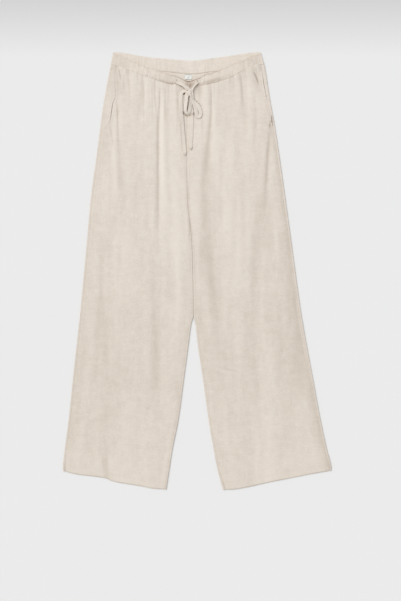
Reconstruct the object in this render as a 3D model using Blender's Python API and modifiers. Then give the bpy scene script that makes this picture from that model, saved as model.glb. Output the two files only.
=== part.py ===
"""Linen drawstring trousers with wide legs, laid flat on their back.

Row frame: +X to the wearer's left, +Y towards the waist, +Z up from the surface the trousers lie on.
The origin is under the middle of the garment. Sizes in the tables are millimetres, and a level is the
distance down the garment from the corner of its waist.
"""

import math

import bmesh
import bpy

MM = 0.001

# The garment
LENGTH = 1051.6  # from the corners of the waist to the lowest point of the hems
WALL = 1.2  # the cloth
GAP = 0.3  # between pieces that are sewn together
ROLL = 2.1  # radius of the cloth where the back turns over to the front
WRAP = 3.0  # width of the back's cloth on the front, from the roll to the seam
CROTCH = 355.0  # level where the four leg pieces meet
TURN_OVER = 45.0  # below the crotch the inner edge of a back turns over within this length
BACK_HEM_DROP = 1.5  # a back shows this much below its front

# Heights of the front's outer face above the surface
SEAM_HEIGHT = 2 * ROLL
LOFT = 1.0  # the front lies this much higher between its seams
LOFT_WIDTH = 35.0
CENTRE_SINK = 0.5
CENTRE_SINK_WIDTH = 6.0
BAND_BLEND = 30.0  # length over which the front comes down from the waistband
MOUTH_REACH = 12.0  # a pocket's mouth lifts the front this far in from the side seam
EDGE_CALM = 8.0  # folds fade out within this distance of a front's edges
GATHER_FAN = 0.0007  # gathers lean away from the bow by this share of their distance, for each mm of fall
FOLD_START = 0.18  # a fold rises within this share of its length
FOLD_END = 0.55  # and fades out within this share

# The waistband
BAND_WALL = 3.2  # cloth folded over elastic
BAND_RIPPLE = 0.9
BACK_RIPPLE = 0.5
FRONT_RIPPLES = 42
BACK_RIPPLES = 30
STATIONS_PER_RIPPLE = 3
BAND_END = 8.0  # the ripples fade out within this distance of a side
FRONT_SEAM_RISE = 2.2  # the front's outer face meets the band this high above the band's underside
# Section of a band, down its outer face and back along its underside: share of the band's height,
# share of its wall, share of the ruching
BAND_SECTION = (
    (0.0, 0.5, 0.5),
    (0.12, 1.0, 1.0),
    (0.5, 1.0, 0.8),
    (0.88, 1.0, 1.0),
    (1.0, 0.5, 0.5),
    (0.88, 0.0, 0.0),
    (0.5, 0.0, 0.0),
    (0.12, 0.0, 0.0),
)

# The drawstring, a flat cloth tie
TIE_WIDTH = 8.5
TIE_WALL = 2.4
KNOT = (-20.0, 99.0)  # x and level of the middle of the bow
KNOT_SIZE = (16.0, 17.0, 9.0)
TIP_SIZE = (9.0, 8.0, 5.4)
KNOT_CUTS = 3
KNOT_ROUNDNESS = 0.62  # 0 is a box, 1 an ellipsoid

LABEL_SIZE = (17.0, 12.0, 1.0)
LABEL_PLACE = (-22.3, 60.6)

FACING_WALL = 1.0
FACING_IN = 8.0  # a pocket facing reaches this far under the front, past the mouth
FACING_OUT = 14.0  # and this far under the back's turned-over cloth
FACING_STEPS = 8

# level, then x of: right side, right inner edge, left inner edge, left side.
# The two inner edges are the centre seam down to the crotch, and part at level 632.
OUTLINE = (
    (0, -201.6, -22.8, -22.8, 152.4),
    (40, -208.3, -22.8, -22.8, 163.0),
    (85, -217.2, -22.8, -22.8, 170.2),
    (125, -225.0, -23.4, -23.4, 177.5),
    (160, -230.2, -24.4, -24.4, 184.6),
    (240, -240.6, -26.2, -26.2, 197.3),
    (355, -256.0, -23.8, -23.8, 213.6),
    (455, -265.4, -13.3, -13.3, 227.2),
    (595, -279.6, -9.9, -9.9, 246.0),
    (632, -283.5, -9.6, -9.6, 251.5),
    (654, -286.2, -15.4, -3.6, 255.2),
    (700, -291.0, -21.8, 1.7, 263.5),
    (790, -299.5, -34.2, 14.4, 280.0),
    (883, -308.0, -46.0, 27.5, 296.8),
    (955, -317.0, -60.0, 40.0, 312.0),
    (1000, -322.4, -67.0, 49.0, 322.8),
    (1056, -323.0, -75.4, 64.8, 324.0),
)
RIGHT_SIDE, RIGHT_INNER, LEFT_INNER, LEFT_SIDE = 1, 2, 3, 4

# x, then level of: top edge, seam to the fronts. The last column is the height of the band's underside.
WAIST_FRONT = (
    (-210, 0.9, 29.5, 3.5),
    (-192, 8.4, 34.5, 4.1),
    (-160, 23.5, 47.0, 4.1),
    (-143, 29.5, 53.0, 4.1),
    (-118, 40.6, 61.0, 4.1),
    (-92, 47.5, 68.5, 4.1),
    (-71, 55.0, 75.0, 3.2),
    (-48, 60.0, 79.5, 2.4),
    (-23, 70.8, 86.5, 2.4),
    (-1, 65.5, 80.0, 2.4),
    (20, 55.6, 77.0, 2.8),
    (37, 51.6, 75.0, 3.6),
    (60, 43.9, 68.5, 4.1),
    (82, 33.1, 60.5, 4.1),
    (103, 26.4, 48.5, 4.1),
    (116, 19.4, 43.0, 4.1),
    (137, 10.1, 34.5, 4.1),
    (165, 0.2, 28.5, 3.5),
)
# x, then level of: top edge, seam to the backs.
WAIST_BACK = (
    (-210, 0.9, 28.5),
    (-181, 2.4, 33.0),
    (-142, 9.4, 41.0),
    (-104, 14.9, 46.0),
    (-68, 17.6, 48.4),
    (-18, 21.6, 53.8),
    (30, 16.4, 49.0),
    (80, 9.6, 42.0),
    (133, 1.9, 33.5),
    (165, 0.2, 27.5),
)
TOP, SEAM, REST = 1, 2, 3

# x, level of a front's hem
HEM_RIGHT = (
    (-323, 1003.2),
    (-304, 1009.6),
    (-283, 1013.8),
    (-244, 1018.2),
    (-219, 1022.4),
    (-206, 1028.4),
    (-191, 1032.0),
    (-159, 1037.3),
    (-127, 1042.6),
    (-105, 1046.9),
    (-75, 1048.8),
)
HEM_LEFT = (
    (64, 1049.2),
    (81, 1049.5),
    (103, 1046.6),
    (135, 1040.4),
    (167, 1033.0),
    (199, 1026.5),
    (231, 1020.2),
    (263, 1013.8),
    (295, 1008.2),
    (315, 1004.5),
    (323, 1000.5),
)

# level, then how far in from the roll the side seam lies on: the right leg, the left leg.
SIDE_SEAM_IN = (
    (28, 9.0, 6.0),
    (60, 13.0, 6.4),
    (110, 21.5, 5.6),
    (162, 18.0, 3.6),
    (190, 9.0, 3.0),
    (218, WRAP, WRAP),
    (1056, WRAP, WRAP),
)
# One row for each pocket: leg, level of the mouth's two ends, how far the front stands back and up there.
POCKETS = (
    ("right", 58.0, 166.0, 2.4, 1.0),
    ("left", 52.0, 168.0, 1.8, 1.0),
)

# Gathers under the waistband: x at the seam, length, rise (negative for a valley), half width.
GATHERS = (
    (-186, 70, -0.8, 5.0),
    (-164, 85, -0.7, 5.5),
    (-153, 170, 0.9, 8.0),
    (-142, 80, -0.6, 4.5),
    (-130, 180, -0.9, 5.5),
    (-119, 170, 0.8, 6.0),
    (-102, 100, -0.8, 4.5),
    (-69, 110, -0.8, 5.0),
    (-58, 190, 0.8, 8.0),
    (-47, 130, -0.9, 5.5),
    (4, 90, -0.6, 6.0),
    (18, 110, 0.7, 7.0),
    (57, 90, -0.7, 5.5),
    (70, 110, 0.6, 7.0),
    (84, 80, -0.6, 5.5),
    (92, 90, 0.6, 6.0),
    (126, 250, 1.0, 9.0),
    (150, 60, 0.6, 5.0),
)
# Long folds: x and level at the top, the middle and the end, rise, half width at the top and the end.
FOLDS = (
    (-94, 60, -93, 235, -95, 600, -1.4, 5.0, 11.0),
    (-79, 60, -78, 235, -77, 470, 1.5, 7.0, 15.0),
    (-192, 100, -188, 250, -171, 440, -1.0, 5.0, 9.0),
    (-203, 160, -198, 270, -186, 400, 0.7, 7.0, 12.0),
    (-224, 400, -234, 630, -241, 860, -1.0, 18.0, 24.0),
    (-100, 560, -100, 740, -105, 900, -0.8, 13.0, 17.0),
    (-172, 330, -170, 670, -166, 1000, 1.0, 30.0, 42.0),
    (-214, 900, -217, 985, -222, 1075, -1.1, 9.0, 13.0),
    (33, 55, 28, 170, 20, 330, -1.3, 4.5, 9.0),
    (41, 55, 38, 160, 34, 300, 1.1, 6.0, 10.0),
    (23, 220, 19, 390, 56, 720, -1.3, 12.0, 20.0),
    (76, 170, 76, 400, 84, 740, 1.2, 20.0, 28.0),
    (100, 40, 105, 100, 111, 180, -1.1, 4.5, 7.0),
    (134, 40, 140, 62, 147, 86, -0.9, 4.0, 5.0),
    (180, 150, 167, 250, 154, 420, -1.2, 5.0, 11.0),
    (156, 330, 138, 540, 120, 800, -1.1, 14.0, 26.0),
    (174, 620, 172, 810, 168, 1040, 1.1, 22.0, 28.0),
    (243, 480, 245, 680, 254, 900, -0.9, 20.0, 26.0),
)

# Routes of the ties: x, level, height of the middle above the cloth, tilt in degrees (0 lies flat).
RIGHT_LEAD = (
    (-52, 73.0, 1.6, 0),
    (-45, 76.5, 1.7, 0),
    (-38, 82.5, 2.4, 10),
    (-29.6, 90.4, 4.2, 25),
)
LEFT_LEAD = (
    (4, 73.0, 1.6, 0),
    (-1, 78.0, 1.8, 0),
    (-6, 84.0, 2.6, -10),
    (-10.6, 90.0, 4.2, -25),
)
RIGHT_LOOP = (
    (-25.6, 108.6, 7.0, -70),
    (-30.0, 116.0, 7.0, -60),
    (-32.6, 129.0, 6.9, -50),
    (-31.4, 142.0, 6.7, -48),
    (-25.8, 149.0, 6.6, -46),
    (-20.2, 143.0, 6.8, -50),
    (-18.4, 129.0, 7.0, -62),
    (-19.2, 108.6, 7.2, -76),
)
LEFT_LOOP = (
    (-10.6, 105.6, 7.0, 66),
    (-2.6, 113.0, 5.8, 50),
    (7.0, 124.0, 4.6, 36),
    (14.6, 139.0, 3.9, 30),
    (13.4, 152.0, 3.8, 30),
    (3.4, 156.0, 4.2, 34),
    (-6.0, 147.0, 6.0, 45),
    (-11.0, 131.0, 7.0, 60),
    (-13.4, 108.6, 7.2, 76),
)
RIGHT_TAIL = (
    (-22.8, 108.6, 1.5, 0),
    (-23.6, 132.0, 1.5, 0),
    (-24.6, 156.0, 1.5, 0),
    (-26.0, 182.0, 1.5, 0),
    (-28.2, 214.0, 1.5, 0),
    (-30.2, 240.6, 1.5, 0),
)
LEFT_TAIL = (
    (-13.2, 108.6, 1.5, 0),
    (-13.8, 132.0, 1.5, 0),
    (-14.2, 156.0, 1.5, 0),
    (-14.8, 182.0, 1.5, 0),
    (-15.2, 208.0, 1.5, 0),
    (-14.9, 227.6, 1.5, 0),
)
TIP_RIGHT = (-30.6, 245.2)
TIP_LEFT = (-14.8, 232.2)

# Shares of a leg's length at which its rows of points lie
ROWS = (
    0, 0.01, 0.024, 0.043, 0.066, 0.095, 0.13, 0.17, 0.22, 0.279, 0.291, 0.303, 0.315, 0.327,
    0.37, 0.43, 0.5, 0.57, 0.65, 0.73, 0.81, 0.88, 0.94, 1,
)
FRONT_COLUMNS = 32
FLAT_COLUMNS = 7
ROLL_COLUMNS = 4
WRAP_COLUMNS = 2
BACK_RISE_SHARE = 0.22  # a back's rows climb to the back band, which is higher, in this share of its length
HEM_DROP_SHARE = 0.1
LEAD_IN = 3.0  # flat strip at the inner edge of a back where it isn't turned over
STUB = 0.5  # and the cloth past its roll there
EDGE_PASSES = 4  # times that a level and the place where it is read settle on each other

LINEN = (0.738, 0.665, 0.584)
LINEN_INSIDE = (0.745, 0.665, 0.597)
LINEN_BAND = (0.700, 0.610, 0.530)
LINEN_POCKET = (0.560, 0.480, 0.400)
TIE_CLOTH = (0.680, 0.590, 0.500)
LABEL_WHITE = (0.860, 0.860, 0.840)
CLOTH_ROUGHNESS = 0.92
LABEL_ROUGHNESS = 0.7


def mix(a, b, share):
    return a + (b - a) * share


def smooth(share):
    share = min(max(share, 0.0), 1.0)
    return share * share * (3 - 2 * share)


def read(table, column, at):
    """A table's column at a place in its first column, on a smooth curve that never overshoots its rows."""
    places = [row[0] for row in table]
    values = [row[column] for row in table]
    at = min(max(at, places[0]), places[-1])
    i = 0
    while i < len(places) - 2 and at > places[i + 1]:
        i += 1

    def slope(k):
        return (values[k + 1] - values[k]) / (places[k + 1] - places[k])

    def tangent(k):
        if k == 0:
            return slope(0)
        if k == len(places) - 1:
            return slope(k - 1)
        before, after = slope(k - 1), slope(k)
        return 0.0 if before * after <= 0 else 2 * before * after / (before + after)

    width = places[i + 1] - places[i]
    t = (at - places[i]) / width
    return (
        values[i] * (1 + 2 * t) * (1 - t) ** 2
        + tangent(i) * width * t * (1 - t) ** 2
        + values[i + 1] * t * t * (3 - 2 * t)
        - tangent(i + 1) * width * t * t * (1 - t)
    )


def place(x, level, z):
    return (x * MM, (LENGTH / 2 - level) * MM, z * MM)


class Leg:
    """One leg's edges and hem. Outward is -1 for the right leg, whose side is at low x, else 1."""

    def __init__(self, name, outward, side, inner, hem, seam_in):
        self.name, self.outward = name, outward
        self.side_column, self.inner_column = side, inner
        self.hem, self.seam_in = hem, seam_in
        self.pocket = next(row for row in POCKETS if row[0] == name)

    def side(self, level):
        return read(OUTLINE, self.side_column, level)

    def inner(self, level):
        return read(OUTLINE, self.inner_column, level) + self.outward * GAP / 2

    def turned(self, level):
        """0 down to the crotch, 1 where the back's inner edge is fully turned over."""
        return smooth((level - CROTCH) / TURN_OVER)

    def gape(self, level):
        start, end = self.pocket[1:3]
        share = (level - start) / (end - start)
        return math.sin(math.pi * share) ** 2 if 0 < share < 1 else 0.0

    def side_seam(self, level):
        """x where the back's turned-over cloth ends."""
        return self.side(level) - self.outward * (ROLL + read(SIDE_SEAM_IN, self.seam_in, level))

    def front_outer(self, level):
        return self.side_seam(level) - self.outward * (GAP + self.pocket[3] * self.gape(level))

    def front_inner(self, level):
        return self.inner(level) + self.outward * self.turned(level) * (ROLL + WRAP + GAP)


RIGHT = Leg("right", -1, RIGHT_SIDE, RIGHT_INNER, HEM_RIGHT, 1)
LEFT = Leg("left", 1, LEFT_SIDE, LEFT_INNER, HEM_LEFT, 2)


def bump(distance, half_width):
    return math.exp(-((distance / half_width) ** 2))


def gathers(x, level):
    """Small folds that spring from the waistband's seam and fan out with the leg."""
    below = level - read(WAIST_FRONT, SEAM, x)
    total = 0.0
    for start_x, length, rise, half_width in GATHERS:
        if not 0 <= below < length:
            continue
        share = below / length
        fan = (start_x - KNOT[0]) * GATHER_FAN * below
        total += rise * (1 - smooth(share)) * bump(x - start_x - fan, half_width * (1 + share))
    return total


def folds(x, level):
    """Long folds, each fading in and out along its own path."""
    total = 0.0
    for x0, level0, x1, level1, x2, level2, rise, width0, width2 in FOLDS:
        if not level0 < level < level2:
            continue
        share = (level - level0) / (level2 - level0)
        path = read(((level0, x0), (level1, x1), (level2, x2)), 1, level)
        fade = smooth(share / FOLD_START) * smooth((1 - share) / FOLD_END)
        total += rise * fade * bump(x - path, mix(width0, width2, share))
    return total


def front_skin(x, level):
    """Height of a front's outer face."""
    leg = RIGHT if x < read(OUTLINE, RIGHT_INNER, level) else LEFT
    outer, inner = leg.front_outer(level), leg.front_inner(level)
    from_outer = max((outer - x) * leg.outward, 0.0)
    from_inner = max((x - inner) * leg.outward, 0.0)
    loft = LOFT * smooth(min(from_outer, from_inner) / LOFT_WIDTH)
    sink = CENTRE_SINK * bump(from_inner, CENTRE_SINK_WIDTH) * (1 - leg.turned(level))
    lift = leg.pocket[4] * leg.gape(level) * bump(from_outer, MOUTH_REACH)
    free = SEAM_HEIGHT + loft - sink + lift
    at_band = read(WAIST_FRONT, REST, x) + FRONT_SEAM_RISE
    below = level - read(WAIST_FRONT, SEAM, x)
    base = mix(at_band, free, smooth(below / BAND_BLEND))
    base = mix(SEAM_HEIGHT + lift, base, smooth(from_outer / MOUTH_REACH))
    calm = smooth(from_outer / EDGE_CALM) * smooth(from_inner / EDGE_CALM)
    return base + calm * (gathers(x, level) + folds(x, level))


def ripple(share, count, seed):
    """Uneven ruching along a band: 0 in a valley, 1 on a ridge."""
    drift = 0.9 * math.sin(share * 17 + seed) + 0.5 * math.sin(share * 41 + 2 * seed)
    return 0.5 + 0.5 * math.cos(2 * math.pi * share * count + drift)


def band_end(share):
    width = OUTLINE[0][LEFT_SIDE] - OUTLINE[0][RIGHT_SIDE]
    return smooth(min(share, 1 - share) * width / BAND_END)


def top_skin(x, level):
    """Height of whatever the drawstring lies on at a place."""
    if level > read(WAIST_FRONT, SEAM, x) + GAP:
        return front_skin(x, level)
    return read(WAIST_FRONT, REST, x) + BAND_WALL + BAND_RIPPLE


def material(name, colour, roughness=CLOTH_ROUGHNESS):
    made = bpy.data.materials.new(name)
    made.use_nodes = True
    shader = made.node_tree.nodes["Principled BSDF"]
    shader.inputs["Base Color"].default_value = (*colour, 1.0)
    shader.inputs["Roughness"].default_value = roughness
    shader.inputs["Metallic"].default_value = 0.0
    return made


def add(name, data, collection, root, finish):
    made = bpy.data.objects.new(name, data)
    data.materials.append(finish)
    collection.objects.link(made)
    made.parent = root
    return made


def sheet(name, rows, wall, *where):
    """An open grid of points given a wall on the side away from its normals."""
    bm = bmesh.new()
    columns = len(rows[0]) - 1
    bmesh.ops.create_grid(bm, x_segments=columns, y_segments=len(rows) - 1, size=1)
    bm.verts.ensure_lookup_table()
    for i, vert in enumerate(bm.verts):
        vert.co = rows[i // (columns + 1)][i % (columns + 1)]
    mesh = bpy.data.meshes.new(name)
    bm.to_mesh(mesh)
    bm.free()
    made = add(name, mesh, *where)
    mesh.shade_smooth()
    solidify = made.modifiers.new("cloth wall", "SOLIDIFY")
    solidify.thickness = wall * MM
    solidify.offset = -1
    solidify.use_even_offset = True
    return made


def loft(name, rings, *where):
    """A closed solid through rings of equal count, capped at both ends."""
    bm = bmesh.new()
    loops = [[bm.verts.new(point) for point in ring] for ring in rings]
    for before, after in zip(loops, loops[1:]):
        for k in range(len(before)):
            n = (k + 1) % len(before)
            bm.faces.new((before[k], before[n], after[n], after[k]))
    bm.faces.new(reversed(loops[0]))
    bm.faces.new(loops[-1])
    bmesh.ops.recalc_face_normals(bm, faces=bm.faces)
    mesh = bpy.data.meshes.new(name)
    bm.to_mesh(mesh)
    bm.free()
    mesh.shade_smooth()
    return add(name, mesh, *where)


def front_level(leg, x_at, row_share):
    """Level of a leg's row of points at the place where x_at(level) crosses it."""
    top = end = 0.0
    for _ in range(EDGE_PASSES):
        top = read(WAIST_FRONT, SEAM, x_at(top)) + GAP
        end = read(leg.hem, 1, x_at(end))
    return mix(top, end, row_share)


def front(leg, *where):
    """A front: an open height field from the waistband's seam to the hem, with its folds."""
    rows = []
    for row_share in reversed(ROWS):
        row = []
        for column in range(FRONT_COLUMNS + 1):
            share = column / FRONT_COLUMNS
            share = share if leg.outward < 0 else 1 - share

            def x_at(level):
                return mix(leg.front_outer(level), leg.front_inner(level), share)

            level = front_level(leg, x_at, row_share)
            x = x_at(level)
            row.append(place(x, level, front_skin(x, level)))
        rows.append(row)
    return sheet(f"front_{leg.name}_leg", rows, WALL, *where)


def rolled(edge, outward, turned, wrap):
    """Points x, z of cloth that leaves the surface, rolls round an edge and lies back on top."""
    angle = math.pi * turned
    straight = mix(STUB, wrap, turned * turned)
    reach = ROLL if angle >= math.pi / 2 else ROLL * math.sin(angle) + straight * math.cos(angle)
    begin = edge - outward * reach
    flat = LEAD_IN * (1 - turned)
    bent = flat + ROLL * angle
    lengths = [bent * k / ROLL_COLUMNS for k in range(ROLL_COLUMNS + 1)]
    lengths += [bent + straight * k / WRAP_COLUMNS for k in range(1, WRAP_COLUMNS + 1)]
    points = []
    for length in lengths:
        along = length - flat
        if along <= 0:
            points.append((begin + outward * along, 0.0))
            continue
        past = max(along - ROLL * angle, 0.0)
        bend = min(along / ROLL, angle)
        x = ROLL * math.sin(bend) + past * math.cos(angle)
        z = ROLL * (1 - math.cos(bend)) + past * math.sin(angle)
        points.append((begin + outward * x, z))
    return points


def back_section(leg, level):
    """A back's outer face across one level, from its side seam under the leg to its inner edge."""
    side_wrap = read(SIDE_SEAM_IN, leg.seam_in, level)
    side = rolled(leg.side(level), leg.outward, 1.0, side_wrap)
    inner = rolled(leg.inner(level), -leg.outward, leg.turned(level), WRAP)
    start, end = side[0][0], inner[0][0]
    flat = [(mix(start, end, k / FLAT_COLUMNS), 0.0) for k in range(1, FLAT_COLUMNS)]
    return side[::-1] + flat + inner


def back(leg, *where):
    """A back: flat on the surface, its rows level with the front's but for the ends at the waist and hem."""
    rows = []
    count = len(back_section(leg, 0))
    for row_share in ROWS:
        row = []
        for column in range(count):

            def x_at(level):
                return back_section(leg, level)[column][0]

            level = front_level(leg, x_at, row_share)
            x, z = back_section(leg, level)[column]
            if z < ROLL:
                higher = read(WAIST_FRONT, SEAM, x) - read(WAIST_BACK, SEAM, x)
                level -= higher * (1 - smooth(row_share / BACK_RISE_SHARE))
            level += BACK_HEM_DROP * smooth((row_share - 1 + HEM_DROP_SHARE) / HEM_DROP_SHARE)
            x, z = back_section(leg, level)[column]
            row.append(place(x, level, z))
        rows.append(row if leg.outward < 0 else row[::-1])
    return sheet(f"back_{leg.name}_leg", rows, WALL, *where)


def band(name, table, ripples, seed, rise, under, *where):
    """A ruched band: cloth gathered over elastic, as one flat ring section drawn from side to side."""
    rings = []
    stations = ripples * STATIONS_PER_RIPPLE
    for station in range(stations + 1):
        share = station / stations

        def x_at(level):
            return mix(read(OUTLINE, RIGHT_SIDE, level), read(OUTLINE, LEFT_SIDE, level), share)

        top = seam = 0.0
        for _ in range(EDGE_PASSES):
            top = read(table, TOP, x_at(top))
            seam = read(table, SEAM, x_at(seam))
        wave = rise * ripple(share, ripples, seed) * band_end(share)
        ring = []
        for down, up, crest in BAND_SECTION:
            level = mix(top, seam, down)
            x = x_at(level)
            ring.append(place(x, level, under(x) + up * BAND_WALL + crest * wave))
        rings.append(ring)
    return loft(name, rings, *where)


def curve_through(a, b, c, d, t):
    """A value on the smooth curve from b to c, where a and d are the values before and after."""
    rise = c - a
    bend = 2 * a - 5 * b + 4 * c - d
    turn = 3 * b - a - 3 * c + d
    return b + 0.5 * (rise * t + bend * t * t + turn * t ** 3)


def smooth_route(route, step):
    """Points along a smooth curve through a route's own points, about one step apart, with tilts."""
    own = []
    for x, level, height, tilt in route:
        own.append((x, level, top_skin(x, level) + height, math.radians(tilt)))
    own = [own[0], *own, own[-1]]
    points = []
    for a, b, c, d in zip(own, own[1:], own[2:], own[3:]):
        count = max(1, round(math.dist(b[:3], c[:3]) / step))
        for k in range(count):
            points.append([curve_through(*values, k / count) for values in zip(a, b, c, d)])
    return points + [list(own[-1])]


def tie(name, route, step, *where):
    """One stretch of the drawstring: a flat cloth tie drawn along its route."""
    points = smooth_route(route, step)
    data = bpy.data.curves.new(name, "CURVE")
    data.dimensions = "3D"
    data.twist_mode = "Z_UP"
    data.bevel_depth = TIE_WALL / 2 * MM
    data.extrude = (TIE_WIDTH - TIE_WALL) / 2 * MM
    data.bevel_resolution = 1
    data.use_fill_caps = True
    spline = data.splines.new("POLY")
    spline.points.add(len(points) - 1)
    for point, (x, level, z, tilt) in zip(spline.points, points):
        point.co = (*place(x, level, z), 1.0)
        point.tilt = math.pi / 2 + tilt
    return add(name, data, *where)


def knot(name, x, level, size, *where):
    """A rounded lump of tied cloth that rests on the front."""
    bm = bmesh.new()
    bmesh.ops.create_cube(bm, size=1)
    bmesh.ops.subdivide_edges(bm, edges=bm.edges, cuts=KNOT_CUTS, use_grid_fill=True)
    for vert in bm.verts:
        vert.co = vert.co.lerp(vert.co.normalized() / 2, KNOT_ROUNDNESS)
        vert.co.x *= size[0] * MM
        vert.co.y *= size[1] * MM
        vert.co.z *= size[2] * MM
    mesh = bpy.data.meshes.new(name)
    bm.to_mesh(mesh)
    bm.free()
    mesh.shade_smooth()
    made = add(name, mesh, *where)
    half_width, half_length = size[0] / 2, size[1] / 2
    across = (x - half_width, x, x + half_width)
    down = (level - half_length, level, level + half_length)
    skin = max(top_skin(x_at, level_at) for x_at in across for level_at in down)
    made.location = place(x, level, skin + GAP + size[2] / 2)
    return made


def facing(leg, *where):
    """The strip of pocket cloth that shows in a mouth, between the front and the back."""
    start, end = leg.pocket[1:3]
    rows = []
    for k in range(FACING_STEPS, -1, -1):
        level = mix(start, end, k / FACING_STEPS)
        seam = leg.side_seam(level)
        room = abs(leg.side(level) - seam) - ROLL - GAP
        inward = seam - leg.outward * FACING_IN
        outward = seam + leg.outward * min(FACING_OUT, room)
        low, high = sorted((inward, outward))
        rows.append([place(mix(low, high, share), level, WALL + GAP + FACING_WALL) for share in (0, 0.5, 1)])
    return sheet(f"pocket_facing_{leg.name}", rows, FACING_WALL, *where)


def label(*where):
    """A blank woven tab under the back band."""
    bm = bmesh.new()
    bmesh.ops.create_cube(bm, size=1)
    for vert in bm.verts:
        vert.co = [co * size * MM for co, size in zip(vert.co, LABEL_SIZE)]
    mesh = bpy.data.meshes.new("size_label")
    bm.to_mesh(mesh)
    bm.free()
    made = add("size_label", mesh, *where)
    made.location = place(*LABEL_PLACE, WALL + GAP + LABEL_SIZE[2] / 2)
    return made


def main():
    for old in list(bpy.data.objects):
        bpy.data.objects.remove(old)
    collection = bpy.data.collections.new("linen_drawstring_trousers")
    bpy.context.scene.collection.children.link(collection)
    root = bpy.data.objects.new("trousers", None)
    collection.objects.link(root)
    here = (collection, root)

    for leg in (RIGHT, LEFT):
        front(leg, *here, material(f"linen front {leg.name}", LINEN))
        back(leg, *here, material(f"linen back {leg.name}", LINEN_INSIDE))
        facing(leg, *here, material(f"pocket linen {leg.name}", LINEN_POCKET))
    band(
        "waistband_front", WAIST_FRONT, FRONT_RIPPLES, 0.7, BAND_RIPPLE,
        lambda x: read(WAIST_FRONT, REST, x), *here, material("ruched linen front", LINEN_BAND),
    )
    band(
        "waistband_back", WAIST_BACK, BACK_RIPPLES, 2.1, BACK_RIPPLE,
        lambda x: 0.0, *here, material("ruched linen back", LINEN_INSIDE),
    )
    label(*here, material("label weave", LABEL_WHITE, LABEL_ROUGHNESS))
    for name, route, step in (
        ("drawstring_right_lead", RIGHT_LEAD, 6.0),
        ("drawstring_right_loop", RIGHT_LOOP, 4.5),
        ("drawstring_right_tail", RIGHT_TAIL, 11.0),
        ("drawstring_left_lead", LEFT_LEAD, 6.0),
        ("drawstring_left_loop", LEFT_LOOP, 4.5),
        ("drawstring_left_tail", LEFT_TAIL, 11.0),
    ):
        tie(name, route, step, *here, material(name.replace("_", " "), TIE_CLOTH))
    knot("bow_knot", *KNOT, KNOT_SIZE, *here, material("bow knot", TIE_CLOTH))
    knot("tip_knot_right", *TIP_RIGHT, TIP_SIZE, *here, material("right tip knot", TIE_CLOTH))
    knot("tip_knot_left", *TIP_LEFT, TIP_SIZE, *here, material("left tip knot", TIE_CLOTH))


main()
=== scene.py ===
"""Looks of a pair of linen drawstring trousers laid flat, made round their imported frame.

Row frame, in metres: +X to the wearer's left, +Y towards the waist, +Z up from the surface they lie on.
Sizes, tables and routes are in millimetres. A level is the distance down the garment from the corner of
its waist, and a rise is a height above the surface. At its half width a bump has fallen to about a third.
"""

import math

import bmesh
import bpy
import numpy as np
from bpy.props import FloatProperty, FloatVectorProperty, PointerProperty
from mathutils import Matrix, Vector


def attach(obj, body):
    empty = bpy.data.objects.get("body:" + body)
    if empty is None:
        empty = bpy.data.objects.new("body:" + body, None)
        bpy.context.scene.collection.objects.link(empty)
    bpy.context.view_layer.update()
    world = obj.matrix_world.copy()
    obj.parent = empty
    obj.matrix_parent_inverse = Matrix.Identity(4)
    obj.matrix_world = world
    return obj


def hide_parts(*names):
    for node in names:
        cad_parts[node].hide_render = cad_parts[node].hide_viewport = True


bl_info = {
    "name": "Linen Drawstring Trousers",
    "version": (1, 0, 0),
    "blender": (4, 5, 0),
    "location": "3D View > Sidebar > Trousers",
    "description": "Cloth, waistband, tie, seams and stage of linen drawstring trousers laid flat",
    "category": "Object",
}

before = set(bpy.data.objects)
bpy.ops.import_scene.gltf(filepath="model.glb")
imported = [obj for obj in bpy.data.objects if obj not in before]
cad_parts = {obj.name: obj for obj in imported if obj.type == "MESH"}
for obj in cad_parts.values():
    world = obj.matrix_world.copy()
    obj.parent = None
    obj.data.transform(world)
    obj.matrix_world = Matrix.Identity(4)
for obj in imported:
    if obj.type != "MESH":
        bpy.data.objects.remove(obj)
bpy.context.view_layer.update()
BODY = "root"
MM = 0.001

LENGTH = 1051.6  # from the corners of the waist to the lowest point of the hems
CLOTH = 0.8
ROLL = 2.1  # radius of the cloth where a back turns over to the front
WRAP = 3.0  # width of a back's cloth on the front, from the roll to the seam
SEAM_GAP = 0.02  # between pieces that are sewn together
CROTCH = 355.0
TURN_OVER = 45.0  # below the crotch the inner edge of a back turns over within this length
FRONT_TURN = 70.0  # and then its seam leaves the middle within this one
BACK_HEM_DROP = 1.5
PRESS = 0.8  # the rolled edges are pressed to this share of their round height
SEAM_HEIGHT = 2 * ROLL * PRESS
KNOT = (-20.0, 99.0)  # x and level of the bow's middle
TIE_WIDTH = 9.0
EDGE_PASSES = 4  # a point on an edge is found by reading x and level from each other this often

# level, then x of: right side, right inner edge, left inner edge, left side
OUTLINE = (
    (0, -202.4, -22.8, -22.8, 151.8), (40, -209.4, -22.8, -22.8, 162.2), (85, -218.2, -22.8, -22.8, 169.4),
    (125, -225.2, -23.4, -23.4, 175.9), (160, -230.2, -24.4, -24.4, 182.4),
    (240, -240.6, -26.2, -26.2, 195), (355, -256, -23.8, -23.8, 211.3), (455, -265, -13.3, -13.3, 225.1),
    (595, -278.2, -9.9, -9.9, 244.1), (632, -281.8, -9.6, -9.6, 249.6), (654, -284.2, -15, -4.8, 253.3),
    (700, -289.4, -21, 0.4, 261.5), (790, -299.2, -33, 13.9, 278.2), (883, -308.9, -45.6, 26.7, 295.4),
    (955, -318.4, -60, 39, 311), (1000, -323, -67, 47.6, 321.6), (1056, -323.4, -75.4, 62.6, 323),
)
RIGHT_SIDE, RIGHT_INNER, LEFT_INNER, LEFT_SIDE = 1, 2, 3, 4

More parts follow.
